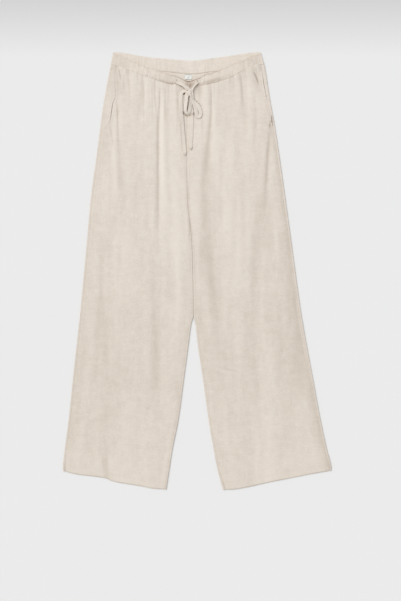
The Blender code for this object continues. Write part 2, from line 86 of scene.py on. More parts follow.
# x, then level of: top edge, seam to the fronts. The last column is the rise of the band's underside.
WAIST_FRONT = (
    (-210, 0.9, 29.5, 3.5), (-192, 8.4, 34.5, 4.1), (-160, 23.5, 47, 4.1), (-143, 29.5, 53, 4.1),
    (-118, 40.6, 61, 4.1), (-92, 47.5, 72, 4.1), (-71, 55, 77.8, 3.2), (-48, 60, 80.8, 2.4),
    (-23, 70.8, 86.5, 2.4), (-1, 65.5, 82.6, 2.4), (20, 55.6, 80.2, 2.8), (37, 51.6, 76.2, 3.6),
    (60, 43.9, 69.5, 4.1), (82, 33.1, 60.5, 4.1), (103, 26.4, 48.5, 4.1), (116, 19.4, 43, 4.1),
    (137, 10.1, 34.5, 4.1), (165, 0.2, 28.5, 3.5),
)
# x, then level of: top edge, seam to the backs
WAIST_BACK = (
    (-210, 0.9, 28.5), (-181, 2.4, 33), (-142, 9.4, 41), (-104, 14.9, 46), (-68, 17.6, 48.4),
    (-18, 21.6, 53.8), (30, 16.4, 49), (80, 9.6, 42), (133, 1.9, 33.5), (165, 0.2, 27.5),
)
TOP, SEAM, REST = 1, 2, 3

# x, level of a front's hem
HEM_RIGHT = (
    (-323, 1003.2), (-304, 1009.6), (-283, 1013.8), (-244, 1018.2), (-219, 1022.4), (-206, 1028.4),
    (-191, 1032), (-159, 1037.3), (-127, 1042.6), (-105, 1046.9), (-75, 1048.8),
)
HEM_LEFT = (
    (64, 1049.2), (81, 1049.5), (103, 1046.6), (135, 1040.4), (167, 1033), (199, 1026.5), (231, 1020.2),
    (263, 1013.8), (295, 1008.2), (315, 1004.5), (323, 1000.5),
)

# level, then how far in from the roll the side seam lies on: the right leg, the left leg
SIDE_SEAM_IN = (
    (28, 9, 6), (60, 13, 6.4), (112, 23.2, 5.6), (125, 19.8, 5.1), (162, 19.6, 1.7), (190, 9, 2.8),
    (218, WRAP, WRAP), (1056, WRAP, WRAP),
)
# Where the pockets' mouths stand open: level of both ends, how far the front stands back and up
MOUTHS = {"right": ((100, 178, 1.0, 0.6),), "left": ((42, 124, 1.3, 0.8), (146, 186, 1.9, 1.2))}
# Level and half length of the smooth stretches of each side seam, and the share of it that fades there
SMOOTH_SEAM = {"right": ((80, 28), (196, 20)), "left": ((132, 14),)}
SMOOTHED = 0.7

# Gathers under the waistband: x at the seam, length, rise (negative for a valley), half width
GATHERS = (
    (-186, 70, -0.65, 5), (-164, 85, -0.45, 5.5), (-153, 170, 0.6, 8), (-142, 80, -0.3, 4.5),
    (-130, 180, -0.55, 5.5), (-119, 170, 0.5, 6), (-102, 100, -0.55, 4.5), (-58, 190, 0.5, 8),
    (-47, 130, -0.45, 4), (4, 90, -0.6, 6), (18, 110, 0.7, 7), (57, 90, -0.4, 5.5), (70, 110, 0.25, 8),
    (92, 90, 0.2, 7), (126, 250, 1, 9), (150, 60, 0.6, 5),
)
# Long folds: x and level at the top, the middle and the end, rise, half width at the top and the end
FOLDS = (
    (-95, 120, -95, 260, -95, 600, -0.55, 5, 11), (-83, 80, -84, 200, -80, 470, 1.15, 5.5, 13),
    (-192, 100, -188, 250, -171, 440, -0.45, 5, 9), (-202, 196, -197, 290, -186, 400, 0.6, 7, 12),
    (-224, 400, -234, 630, -241, 860, -0.85, 18, 24), (-100, 560, -100, 740, -105, 900, -0.8, 13, 17),
    (-172, 330, -170, 670, -166, 1000, 1, 30, 42), (-224.5, 962, -221, 995, -211, 1120, -0.6, 9, 13),
    (34, 70, 28, 190, 12, 340, -0.35, 4, 9), (38, 70, 40, 190, 60, 420, 0.8, 5.5, 16),
    (22, 200, 14, 360, 52, 720, -1.15, 9, 20), (76, 170, 76, 400, 84, 740, 1.2, 20, 28),
    (101, 40, 106, 100, 112, 180, -0.45, 4.5, 7), (136, 46, 142, 64, 148, 86, -0.15, 4, 5),
    (180, 140, 169, 250, 156, 420, -0.6, 5, 11), (156, 330, 138, 540, 120, 800, -1.1, 14, 26),
    (174, 620, 172, 810, 168, 1040, 1.1, 22, 28), (243, 480, 245, 680, 254, 900, -0.9, 20, 26),
)
# Sharp creases in the finished cloth, in the same columns
CREASES = (
    (-103, 72, -102, 106, -96.5, 168, -0.6, 1.8, 2.2), (-98.5, 112, -95.2, 190, -94.6, 520, -0.55, 2, 3.6),
    (-90, 80, -91.4, 130, -94.5, 200, -0.9, 2, 2.4), (-78, 76, -77.5, 120, -77, 200, -0.5, 1.8, 2.4),
    (-130, 58, -128.6, 130, -128.5, 240, -0.35, 2, 3.4), (-108, 66, -108, 110, -107, 190, -0.3, 1.6, 3),
    (-117, 64, -116, 100, -115, 150, -0.25, 1.6, 2.6), (-46.5, 92, -48, 135, -46, 230, -0.45, 1.6, 2.6),
    (-189, 40, -186, 54, -181.5, 74, -0.9, 1.8, 2), (-197, 33, -195.5, 44, -193, 64, -0.6, 1.8, 2),
    (-198, 98, -192.4, 140, -189.5, 260, -0.64, 1.6, 3),
    (-210, 176, -204.5, 206, -194, 250, -0.5, 2.4, 3.2), (31.5, 60, 33.2, 128, 24, 240, -0.7, 1.8, 3.4),
    (40, 70, 40.5, 100, 41, 150, -0.3, 1.6, 2.4), (104, 50, 106.5, 95, 110.5, 150, -0.55, 1.8, 2.6),
    (134, 48, 142.2, 65, 148.5, 86, -1.35, 1.6, 1.6), (172, 186, 167.5, 260, 160, 390, -0.55, 2.4, 4.4),
    (179, 158, 176, 171, 170, 190, -1.2, 2.8, 2.6), (11, 120, 12, 160, 13, 250, -0.4, 2.2, 3.4),
    (-48, 84, -44, 150, -38, 236, -0.3, 2, 2.6), (-22.5, 236, -22.5, 290, -22, 330, 0.3, 1.5, 1.6),
    (-18, 262, -18, 300, -19, 345, -0.35, 1.5, 1.8), (-164, 58, -163, 90, -161, 140, -0.4, 1.8, 3),
    (-176, 50, -176, 72, -175, 110, -0.5, 1.8, 3), (122, 52, 124, 130, 126, 270, 0.6, 5, 8),
    (135.5, 84, 139, 150, 133, 270, -0.35, 3, 5),
)
# Short wrinkles across the leg: x and level of both ends, rise, half width
WRINKLES = (
    (44, 757, 104, 767, -0.5, 3), (52, 768, 92, 774, 0.3, 4), (-284, 868, -239, 861, -0.5, 3),
    (-270, 880, -246, 876, 0.3, 4), (-160, 640, -128, 634, -0.25, 3.5), (150, 560, 186, 566, -0.25, 3.5),
    (206, 900, 236, 893, -0.3, 3.5), (-140, 930, -104, 936, -0.3, 3.5),
)
# Folds of the backs, troughs in the face that lies on the surface, in the columns of FOLDS
BACK_FOLDS = (
    (-150, 50, -152, 210, -160, 520, 1, 5, 12), (-116, 52, -117, 130, -120, 260, 0.7, 4, 7),
    (-78, 55, -80, 240, -90, 640, 1.1, 5, 14), (-44, 58, -46, 140, -52, 300, 0.6, 4, 8),
    (10, 58, 12, 160, 18, 340, 0.7, 4, 9), (48, 54, 52, 230, 70, 600, 1.1, 5, 13),
    (92, 46, 98, 140, 110, 300, 0.8, 4, 8), (126, 40, 134, 220, 156, 540, 1, 5, 13),
    (-228, 300, -240, 560, -250, 860, 0.8, 14, 20), (-170, 520, -176, 760, -190, 1040, 0.9, 12, 18),
    (-96, 600, -104, 800, -118, 1040, 0.8, 12, 16), (96, 540, 108, 760, 128, 1040, 0.9, 12, 18),
    (186, 420, 204, 700, 232, 1030, 0.9, 12, 20),
)
# Painted shade in broad bands where the cloth leans from the light, painted light where it leans to it if
# negative, and narrow lines of painted shade beside the centre seam and the tie's tails, in the columns of
# FOLDS, with how much deeper the painted shade is in place of the rise
PAINTED_BANDS = (
    (-76, 110, -63, 340, -46, 600, -0.28, 18, 24), (-172, 860, -172, 960, -172, 1200, -0.18, 34, 34),
    (160, 840, 168, 960, 174, 1200, -0.26, 20, 22), (22, 320, 36, 560, 54, 880, 0.37, 12, 18),
    (200, 400, 213, 580, 258, 860, 0.4, 15, 18), (132, 640, 137, 780, 140, 900, 0.22, 10, 11),
    (-215, 600, -215, 700, -215, 840, 0.12, 75, 75), (-200, 300, -202, 380, -200, 470, -0.18, 16, 16),
    (-188, -40, -190, 30, -194, 120, 0.34, 22, 20), (135, -40, 135, 30, 137, 95, 0.36, 22, 18),
    (140, 60, 172, 420, 216, 860, 0.27, 24, 24), (-101, 170, -102, 440, -102, 880, 0.2, 8, 11),
    (27, 150, 27, 300, 24, 440, 0.24, 9, 9), (5, 440, 6, 550, 8, 700, 0.2, 9, 9),
    (72, 560, 74, 690, 78, 840, 0.18, 14, 14), (-166, 560, -166, 690, -166, 840, 0.14, 16, 16),
    (48, 270, 49, 380, 52, 500, -0.2, 10, 10), (98, 400, 102, 490, 106, 590, -0.25, 16, 16),
    (114, 590, 115, 665, 117, 770, 0.22, 10, 10), (-60, 800, -66, 900, -84, 1060, -0.3, 10, 12),
    (92, 180, 93, 235, 94, 300, 0.2, 9, 9), (-222, 972, -217.5, 1000, -211, 1080, 0.16, 10, 11),
    (-23, 300, -20.5, 380, -16.5, 480, 0.45, 4.5, 4.5), (-33.2, 125, -31.4, 173, -29.3, 215, 0.5, 1.7, 1.7),
    (-41.6, 155, -38.6, 208, -35.6, 252, 0.55, 1.6, 1.6), (-39, 110, -38, 150, -36, 215, 0.3, 4, 4),
)
# Painted shadow in deep gaps between the bow's strands, in a pocket's mouth and in the waistband's gathers:
# x, level, half width, how much deeper the painted shade is
GAP_SHADOWS = (
    (-32.2, 100.8, 2.4, 5), (-34.2, 144.6, 1.8, 1.6), (-33, 148.6, 2.2, 3), (-28.4, 152.2, 2.2, 3),
    (-24.6, 155, 2, 1.8), (-17, 151, 3.4, 1.8), (-8.8, 149.6, 2.6, 2.8), (-41.5, 81.6, 1.8, 1.4),
    (-37.4, 84.6, 1.8, 1.9), (-32.8, 87.8, 1.8, 2.2), (-17.4, 82, 3.6, 1.6), (-6.6, 114.8, 1.6, 2.4),
    (-1.6, 119.8, 1.6, 2.6), (3.6, 125, 1.5, 2), (8, 129.6, 1.4, 1.2), (-21.2, 116, 2.6, 0.8),
    (-143, 51, 3, 0.55), (-128, 53.5, 2.2, 0.4), (-121, 58.5, 2.8, 0.65), (-117.5, 49.5, 2.2, 0.5),
    (-108.5, 64, 2.4, 0.55), (-99.5, 65.5, 2.4, 0.45), (181, 158.5, 4, 1.1), (164.4, 107, 2.4, 0.9),
    (177, 167.5, 3, 1.1), (174, 176.5, 3.2, 0.45),
)

# Routes of the ties: x, level, rise of the middle above the cloth, tilt in degrees (0 lies flat)
ROUTES = {
    "right": (
        # from its buttonhole
        (-45.5, 75, 1, -6), (-41.5, 76.8, 1.6, -18), (-36.6, 79.6, 2.8, -28), (-31, 83.6, 4, -30),
        (-25.8, 88, 4.8, -22),
        # through the knot
        (-21.4, 92.5, 4.6, -10), (-23.6, 97, 3.4, 0),
        # its loop
        (-25.2, 101.5, 3.2, 8), (-26.4, 109, 4.2, 12), (-27, 119, 4.8, 14), (-28.6, 130, 5, 20),
        (-29.4, 140, 5, 36), (-26.8, 148, 5, 52), (-21, 149, 4.8, 40), (-18.8, 141, 4.6, 18),
        (-16.8, 131, 5, 22), (-14.8, 119, 6, 34), (-14.4, 107.5, 6.4, 42),
        # through the knot again
        (-18, 100, 5, 30), (-22.6, 95, 3.2, 10), (-28.6, 94.4, 3, 14),
        # its tail
        (-34, 95.6, 2.8, 14), (-38.6, 100.4, 1.9, 8), (-39.8, 112, 1.5, 0), (-39.6, 132, 1.5, 0),
        (-38.6, 149, 1.5, 0), (-37.2, 165, 1.4, 0), (-35.6, 184, 1.4, 0), (-33.8, 204, 1.4, 0),
        (-32.4, 222, 1.2, 0), (-31, 238, 1, 0),
    ),
    "left": (
        # from its buttonhole
        (-1.6, 75.6, 1.8, 34), (-4.8, 79.6, 3, 56), (-8.8, 84.6, 4.2, 62), (-12.6, 90, 4.8, 52),
        # through the knot
        (-15.2, 96, 4.6, 34), (-14.6, 101, 4.6, 18),
        # its loop
        (-13.2, 107, 3.8, -2), (-13, 115.6, 3.3, -4), (-8.2, 122.8, 3, -2), (0.2, 130, 2.5, 4),
        (5.4, 138.6, 1.6, 2), (7.6, 148.6, 1.3, 0), (5.4, 155.2, 1.8, 10), (-0.4, 155.8, 2.4, 16),
        (-2.6, 147.4, 2.7, 10), (-5.2, 134, 3.4, 14), (-10.6, 119, 4.6, 30), (-13.2, 107, 5.2, 44),
        # through the knot again
        (-15.6, 100, 4.2, 36), (-15.4, 104, 2.4, 10),
        # its tail
        (-13.6, 112, 2, 0), (-13.8, 132, 1.2, 0), (-13.8, 156, 1.15, 0), (-13.9, 178, 1.15, 0),
        (-15.2, 202, 1.05, 0), (-16.4, 222, 1, 0),
    ),
}
TIPS = {"right": (-30.4, 245.2), "left": (-16.2, 231.6)}


def mix(a, b, share):
    return a + (b - a) * share


def smooth(share):
    share = np.clip(share, 0.0, 1.0)
    return share * share * (3 - 2 * share)


def fade(at, start, end):
    """0 at the start and before it, 1 at the end and beyond it."""
    return smooth((at - start) / (end - start))


def bump(distance, half_width):
    return np.exp(-((distance / half_width) ** 2))


def read(table, column, at):
    """A table's column at places in its first column, on a smooth curve that never overshoots its rows."""
    rows = np.array(table, float)
    places, values = rows[:, 0], rows[:, column]
    widths = np.diff(places)
    slopes = np.diff(values) / widths
    product = slopes[:-1] * slopes[1:]
    total = np.where(product > 0, slopes[:-1] + slopes[1:], 1.0)
    inner = np.where(product > 0, 2 * product / total, 0.0)
    tangents = np.concatenate((slopes[:1], inner, slopes[-1:]))
    at = np.clip(at, places[0], places[-1])
    i = np.clip(np.searchsorted(places, at, side="right") - 1, 0, len(places) - 2)
    t = (at - places[i]) / widths[i]
    start = values[i] * (1 + 2 * t) + tangents[i] * widths[i] * t
    end = values[i + 1] * (3 - 2 * t) - tangents[i + 1] * widths[i] * (1 - t)
    return start * (1 - t) ** 2 + end * t * t


def cloud(x, level, cell_x, cell_level, seed):
    """Smooth uneven values from -1 to 1, in cells of a given size."""
    count = 128
    lattice = np.random.default_rng(seed).uniform(-1, 1, (count, count))
    across, down = x / cell_x, level / cell_level
    i, k = np.floor(across).astype(int), np.floor(down).astype(int)
    u, v = smooth(across - i), smooth(down - k)
    i0, i1, k0, k1 = i % count, (i + 1) % count, k % count, (k + 1) % count
    return mix(mix(lattice[k0, i0], lattice[k0, i1], u), mix(lattice[k1, i0], lattice[k1, i1], u), v)


def clouds(layers, x, level, seed):
    """A sum of clouds. A layer gives its depth and its cells' size across and down."""
    return sum(depth * cloud(x, level, *cell, seed + k) for k, (depth, *cell) in enumerate(layers))


def graded(stops, count):
    """Shares of a length at which points lie. A stop gives a place and the spacing there."""
    places, steps = np.array(stops, float).T
    fine = np.linspace(places[0], places[-1], 4000)
    density = 1 / np.interp(fine, places, steps)
    total = np.concatenate(([0.0], np.cumsum((density[1:] + density[:-1]) / 2)))
    return np.interp(np.linspace(0, total[-1], count), total, fine) / places[-1]


def blurred(heights, passes):
    """Heights averaged with their neighbours across the cloth."""
    for _ in range(passes):
        padded = np.pad(heights, ((0, 0), (1, 1)), mode="edge")
        heights = (padded[:, :-2] + 2 * padded[:, 1:-1] + padded[:, 2:]) / 4
    return heights


def unit(vectors):
    return vectors / np.linalg.norm(vectors, axis=-1, keepdims=True)


class Leg:
    """One leg's edges and hem. Outward is -1 for the right leg, whose side is at low x, else 1."""

    def __init__(self, name, outward, side, inner, hem, seam_in):
        self.name, self.outward, self.hem, self.seam_in = name, outward, hem, seam_in
        self.side_column, self.inner_column = side, inner

    def side(self, level):
        return read(OUTLINE, self.side_column, level)

    def inner(self, level):
        return read(OUTLINE, self.inner_column, level) + self.outward * SEAM_GAP / 2

    def from_edge(self, x, level):
        """Distance from the nearer of the side and the inner edge."""
        return np.minimum(abs(x - self.side(level)), abs(x - self.inner(level)))

    def to_hem(self, x, level):
        return read(self.hem, 1, x) - level

    def turned(self, level):
        """0 down to the crotch, 1 where the back's inner edge is fully turned over."""
        return smooth((level - CROTCH) / TURN_OVER)

    def turned_front(self, level):
        """The same for the front's seam, which leaves the middle a little lower down."""
        return smooth((level - CROTCH - TURN_OVER) / FRONT_TURN)

    def gape(self, level):
        """How far the front stands back from its seam, and how far up."""
        back, up = np.zeros_like(level), np.zeros_like(level)
        for start, end, far, high in MOUTHS[self.name]:
            wide = np.sin(math.pi * np.clip((level - start) / (end - start), 0, 1)) ** 2
            back, up = back + far * wide, up + high * wide
        return back, up

    def side_seam(self, level):
        """x where the back's turned-over cloth ends."""
        return self.side(level) - self.outward * (ROLL + read(SIDE_SEAM_IN, self.seam_in, level))

    def seam_shows(self, level):
        """Less than 1 where the side seam lies smooth, beside the mouths."""
        return 1 - SMOOTHED * sum(bump(level - at, half) for at, half in SMOOTH_SEAM[self.name])

    def front_outer(self, level):
        return self.side_seam(level) - self.outward * (SEAM_GAP + self.gape(level)[0])

    def front_inner(self, level):
        return self.inner(level) + self.outward * self.turned_front(level) * (ROLL + WRAP + SEAM_GAP)


RIGHT = Leg("right", -1, RIGHT_SIDE, RIGHT_INNER, HEM_RIGHT, 1)
LEFT = Leg("left", 1, LEFT_SIDE, LEFT_INNER, HEM_LEFT, 2)
LEGS = (RIGHT, LEFT)


def sizes():
    return bpy.context.scene.trousers_cloth


# ---------------------------------------------------------------------------------------- surfaces

LOFT, LOFT_WIDTH = 1.0, 35.0  # how far the fronts rise from their seams, and within what distance
CENTRE_SINK, CENTRE_SINK_WIDTH = 0.5, 6.0
FRONT_SEAM_RISE = 2.2  # of the fronts' upper edge over the waistband's underside
BAND_BLEND = 30.0  # length over which the front comes down from the waistband
EDGE_CALM = 8.0  # width along the seams in which folds fade out
MOUTH_REACH = 12.0  # width of the cloth that lifts beside a pocket's mouth
MOUTH_FOLD = 0.3  # share of that lift by which the mouth's very edge turns down
GATHER_FAN = 0.0007  # how fast gathers lean away from the knot
GATHERED = 26.0  # below the waistband the small ruffles die away along this length
RUFFLE, BACK_RUFFLE, BACK_GATHERED = 0.5, 0.45, 40.0
FOLD_FADES = (0.18, 0.55)  # shares of its length in which a fold fades in and out
PAINTED_BAND_FADES = (0.22, 0.22)
SEAM_TUCK = 0.2  # sewn edges dip by this much
CENTRE_TUCK = 0.25  # and the centre seam's by so much more
TUCK_HALF = 0.9
ALLOWANCE, ALLOWANCE_HALF = 0.1, 1.8  # a seam's allowance shows through: rise and half width
SIDE_ALLOWANCE_IN, INNER_ALLOWANCE_IN = 9.0, 8.5
PUCKER, PUCKER_REACH = 0.1, 4.0  # puckers of the seams
WAVES_CALM = (480.0, 700.0, 0.6)  # from one level to the other the long waves fade to this share
# Clouds in layers: depth, size of the cells across and down
FRONT_WAVES = ((0.34, 24, 190), (0.16, 11, 80))
FRONT_CRUMPLE = ((0.09, 7, 16), (0.04, 3.2, 5))
BACK_WAVES = ((0.5, 26, 170), (0.2, 11, 60))
BACK_CRUMPLE = 0.08
# Single clouds: size of the cells across and down, seed
RUFFLE_CLOUD, PUCKER_CLOUD = (4.6, 60.0, 31), (5.0, 7.0, 41)
BACK_RUFFLE_CLOUD, BACK_CRUMPLE_CLOUD = (5.0, 50.0, 61), (6.0, 14.0, 64)
SIDE_RELIEF = ((0.35, 6, 42), (0.12, 4, 9))
# The front thins out towards the hem, whose fold rests on the back's
HEM_PRESSED = (70.0, 10.0)  # from this far above the hem to this near it
PRESSED_AT, PRESSED_HEIGHTS = (22.0, 2.0), (3.1, 2.3)  # two distances from the hem, the heights there
PRESSED_RELIEF, PRESSED_MIDDLE = 0.55, SEAM_HEIGHT + 0.4  # share of the relief left, and its zero
HEM_UNDERSIDE, HEM_ROUND = 1.7, 3.2  # height of the hem's fold and the length that it rounds off in
HEM_DOUBLED, DOUBLED_EDGE = 0.22, (1.0, -0.6)  # rise of the doubled cloth, its edge beside the stitches
HEM_SUNK, SUNK_HALF = 0.24, 1.2  # dip of the stitches
HEM_PUCKER, HEM_PUCKER_HALF = 0.1, 5.0
PUCKER_WAVE, PUCKER_DRIFT, DRIFT_WAVE = 0.62, 1.5, 0.09  # radians along the hem a millimetre, and radians
UNDER_DIP, UNDER_FADE = 0.5, (0.6, -1.0)  # the fronts dip where they go under the waistband
BAND_INSET, BAND_REACH = (-206.0, 160.0), 45.0  # the band is thinner within this reach of its ends
BAND_THIN, BAND_THICK, BAND_END_HEIGHT = 0.95, 1.35, 4.1
BAND_FACE = FRONT_SEAM_RISE + 0.6  # from the band's underside to its outer face
TIE_FALL = 3.0  # the drawstring comes down from the waistband to the fronts within this length


def gathers(x, below):
    """Small folds that spring from the waistband's seam and fan out with the leg."""
    total = 0.0
    for start_x, length, rise, half_width in GATHERS:
        share = np.clip(below / length, 0, 1)
        fan = (start_x - KNOT[0]) * GATHER_FAN * below
        total = total + rise * (1 - smooth(share)) * bump(x - start_x - fan, half_width * (1 + share))
    return total


def long_folds(table, x, level, fades=FOLD_FADES):
    """Folds that fade in and out along their own paths."""
    total = 0.0
    for x0, level0, x1, level1, x2, level2, rise, width0, width2 in table:
        share = np.clip((level - level0) / (level2 - level0), 0, 1)
        path = read(((level0, x0), (level1, x1), (level2, x2)), 1, level)
        here = smooth(share / fades[0]) * smooth((1 - share) / fades[1])
        total = total + rise * here * bump(x - path, mix(width0, width2, share))
    return total


def painted_shade_at(x, level):
    """How much deeper the painted shade makes the cloth than its folds alone would make it: painted bands and
    gap shadows.
    """
    total = long_folds(PAINTED_BANDS, x, level, PAINTED_BAND_FADES)
    for gap_x, gap_level, half_width, depth in GAP_SHADOWS:
        total = total + depth * bump(np.hypot(x - gap_x, level - gap_level), half_width)
    return total


def wrinkles(x, level):
    """Short wrinkles across the cloth."""
    total = 0.0
    for x0, level0, x1, level1, rise, half_width in WRINKLES:
        run_x, run_level = x1 - x0, level1 - level0
        length = math.hypot(run_x, run_level)
        along = ((x - x0) * run_x + (level - level0) * run_level) / length ** 2
        off = ((x - x0) * run_level - (level - level0) * run_x) / length
        total = total + rise * np.sin(math.pi * np.clip(along, 0, 1)) * bump(off, half_width)
    return total


def handling(x, level):
    """Unevenness left by handling: long soft waves down the leg and a light crumple."""
    start, end, share = WAVES_CALM
    waves = clouds(FRONT_WAVES, x, level, 11) * mix(1.0, share, fade(level, start, end))
    return waves + clouds(FRONT_CRUMPLE, x, level, 13)


def hem_form(to_hem, x):
    """A turned-up hem: doubled cloth, its stitch line sunk and puckered."""
    depth = sizes().hem_depth
    doubled = HEM_DOUBLED * fade(to_hem - depth, *DOUBLED_EDGE)
    stitched = HEM_SUNK * bump(to_hem - depth, SUNK_HALF)
    waves = np.sin(x * PUCKER_WAVE + PUCKER_DRIFT * np.sin(x * DRIFT_WAVE))
    return doubled - stitched + HEM_PUCKER * waves * bump(to_hem - depth, HEM_PUCKER_HALF)


def front_skin(leg, x, level):
    """Height of a front's outer face."""
    from_outer = np.maximum((leg.front_outer(level) - x) * leg.outward, 0.0)
    from_inner = np.maximum((x - leg.front_inner(level)) * leg.outward, 0.0)
    below = level - read(WAIST_FRONT, SEAM, x)
    to_hem = leg.to_hem(x, level)
    centre = 1 - leg.turned_front(level)
    back, up = leg.gape(level)
    # the form at large: up from the seams, down from the waistband, lifted at a mouth
    lift = up * bump(from_outer, MOUTH_REACH)
    loft = LOFT * smooth(np.minimum(from_outer, from_inner) / LOFT_WIDTH)
    free = SEAM_HEIGHT + loft + lift - CENTRE_SINK * bump(from_inner, CENTRE_SINK_WIDTH) * centre
    base = mix(read(WAIST_FRONT, REST, x) + FRONT_SEAM_RISE, free, smooth(below / BAND_BLEND))
    base = mix(SEAM_HEIGHT + lift, base, smooth(from_outer / MOUTH_REACH))
    # the folds
    calm = smooth(from_outer / EDGE_CALM) * smooth(from_inner / EDGE_CALM)
    ruffled = RUFFLE * cloud(x, level, *RUFFLE_CLOUD) * np.exp(-np.maximum(below, 0) / GATHERED)
    relief = gathers(x, below) + long_folds(FOLDS + CREASES, x, level) + wrinkles(x, level)
    height = base + sizes().fold_depth * calm * (relief + handling(x, level) + ruffled)
    # the seams: a tucked edge at the side and the centre, the seam's allowance showing through
    shut = np.clip(1 - back, 0, 1) * smooth(below / GATHERED) * leg.seam_shows(level)
    height = height - (SEAM_TUCK * shut + MOUTH_FOLD * up) * bump(from_outer, TUCK_HALF)
    height = height - (SEAM_TUCK + CENTRE_TUCK * centre) * bump(from_inner, 1.0)
    height = height + ALLOWANCE * bump(from_outer - SIDE_ALLOWANCE_IN, ALLOWANCE_HALF)
    height = height + ALLOWANCE * bump(from_inner - INNER_ALLOWANCE_IN, ALLOWANCE_HALF)
    near_seams = bump(from_outer, PUCKER_REACH) + bump(from_inner, PUCKER_REACH)
    height = height + PUCKER * cloud(x, level, *PUCKER_CLOUD) * near_seams + hem_form(to_hem, x)
    # the hem
    pressed = mix(*PRESSED_HEIGHTS, fade(to_hem, *PRESSED_AT)) + PRESSED_RELIEF * (height - PRESSED_MIDDLE)
    height = mix(height, pressed, fade(to_hem, *HEM_PRESSED))
    near = np.clip(to_hem / HEM_ROUND, 0, 1)
    rounded = mix(HEM_UNDERSIDE, height, np.sqrt(near * (2 - near)))
    return np.maximum(rounded, HEM_UNDERSIDE) - UNDER_DIP * fade(below, *UNDER_FADE)


def in_from_ends(x):
    """0 at the front waistband's ends, 1 where it has its full form."""
    return smooth(np.minimum(x - BAND_INSET[0], BAND_INSET[1] - x) / BAND_REACH)


def band_front_skin(x):
    """Height of the front waistband's outer face between its ridges."""
    return mix(BAND_END_HEIGHT, read(WAIST_FRONT, REST, x) + BAND_FACE, in_from_ends(x))


def top_skin(x, level):
    """Height of whatever the drawstring lies on at a place."""
    x, level = np.float64(x), np.float64(level)
    leg = RIGHT if x < read(OUTLINE, RIGHT_INNER, level) else LEFT
    below = level - read(WAIST_FRONT, SEAM, x)
    return float(mix(band_front_skin(x), front_skin(leg, x, level), fade(below, 0, TIE_FALL)))


def back_relief(x, level):
    """Height of a back's outer face above the surface it lies on, in the troughs of its folds."""
    below = level - read(WAIST_BACK, SEAM, x)
    ruffled = (1 + cloud(x, level, *BACK_RUFFLE_CLOUD)) * np.exp(-np.maximum(below, 0) / BACK_GATHERED)
    soft = np.maximum(0.0, clouds(BACK_WAVES, x, level, 62))
    crumple = BACK_CRUMPLE * (1 + cloud(x, level, *BACK_CRUMPLE_CLOUD))
    return long_folds(BACK_FOLDS, x, level) + BACK_RUFFLE * ruffled + soft + crumple


# ---------------------------------------------------------------------------------------- meshes


def place(x, level, z):
    return np.stack(np.broadcast_arrays(x, LENGTH / 2 - level, z), -1) * MM


def new_object(name, data):
    made = bpy.data.objects.new(name, data)
    bpy.context.scene.collection.objects.link(made)
    return made


def dressed(mesh, finish_name, hollow=None):
    """A mesh as a smooth piece in its finish. Its painted shade is 1 deep in a fold and -1, a painted
    highlight, on its ridge.
    """
    mesh.shade_smooth()
    mesh.materials.append(finish(finish_name))
    if hollow is not None:
        values = mesh.attributes.new("hollow", "FLOAT", "POINT")
        values.data.foreach_set("value", np.ravel(hollow).astype(np.float32))
    return new_object(mesh.name, mesh)


def new_piece(name, points, faces, finish_name, hollow=None):
    mesh = bpy.data.meshes.new(name)
    mesh.from_pydata(np.reshape(points, (-1, 3)).tolist(), [], np.asarray(faces).tolist())
    return dressed(mesh, finish_name, hollow)


def grid_faces(rows, columns, closed=False, flip=False):
    """Quads of a grid of points. A closed grid joins its last column to its first."""
    r, c = np.meshgrid(np.arange(rows - 1), np.arange(columns if closed else columns - 1), indexing="ij")
    n = (c + 1) % columns
    quads = np.stack((r * columns + c, (r + 1) * columns + c, (r + 1) * columns + n, r * columns + n), -1)
    quads = quads.reshape(-1, 4)
    return quads[:, ::-1] if flip else quads


def give_wall(piece, wall):
    solidify = piece.modifiers.new("cloth wall", "SOLIDIFY")
    solidify.thickness = wall * MM
    solidify.offset = -1
    return piece


def settle(piece, slot, *replaced):
    """A finished piece rides on the body and stands for its solids."""
    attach(piece, BODY)
    if replaced:
        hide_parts(*replaced)
    return piece


# ---------------------------------------------------------------------------------------- finishes

THREAD = 0.00072  # spacing of the linen's threads, in metres
FLECKS, PATCHES = 0.44, 0.37  # how strongly the cloth's tone follows its flecks and its larger patches
# Noises of the linen: size of the cells across and down in metres, detail, seed
STREAKS = {
    "weft": (0.022, 0.0013, 2.0, 3.0),
    "warp": (0.0012, 0.034, 2.0, 7.0),
    "pale": (0.015, 0.0015, 1.0, 13.0),
    "flecks": (0.0050, 0.0032, 3.0, 17.0),
    "patches": (0.019, 0.012, 2.0, 29.0),
    "drifts": (0.060, 0.110, 2.0, 23.0),
}
# Thicker or paler threads: the noise's values from which and at which they show in full, what they add to
# the tone, what to the relief
SLUBS = {"weft": (0.48, 0.74, -0.065, 0.6), "warp": (0.50, 0.76, -0.12, 0.7), "pale": (0.53, 0.78, 0.06, 0.0)}
WEAVE_TONE, WEAVE_RELIEF, FLECK_RELIEF = 0.02, 0.5, 0.8
LEG_TONE = (-0.5, 0.4, -0.05, 0.15)  # from this y to this one, the tone goes from the third to the fourth
LINEN_DARK, LINEN_PALE = (0.80, 0.775, 0.74), (1.17, 1.18, 1.19)  # the tone's ends, as shares of the colour
LINEN_PAINTED_SHADE, LINEN_PAINTED_HIGHLIGHT = (0.34, 0.26, 0.19), (1.17, 1.18, 1.185)  # and those of the painted shade in a fold and of the painted highlight on its ridge
DARKEST_PAINTED_SHADE = 3.12  # painted shade at which the cloth takes its darkest painted tone
FLOOR_SHADE_FADE = (0.515, 0.65, 0.79)  # painted shade: from this y to this one the floor falls off to this share


def set_inputs(tree, node, inputs):
    """Gives a node's inputs their values, or links them to other nodes' outputs."""
    for key, value in inputs.items():
        if isinstance(value, bpy.types.NodeSocket):
            tree.links.new(value, node.inputs[key])
        else:
            node.inputs[key].default_value = value


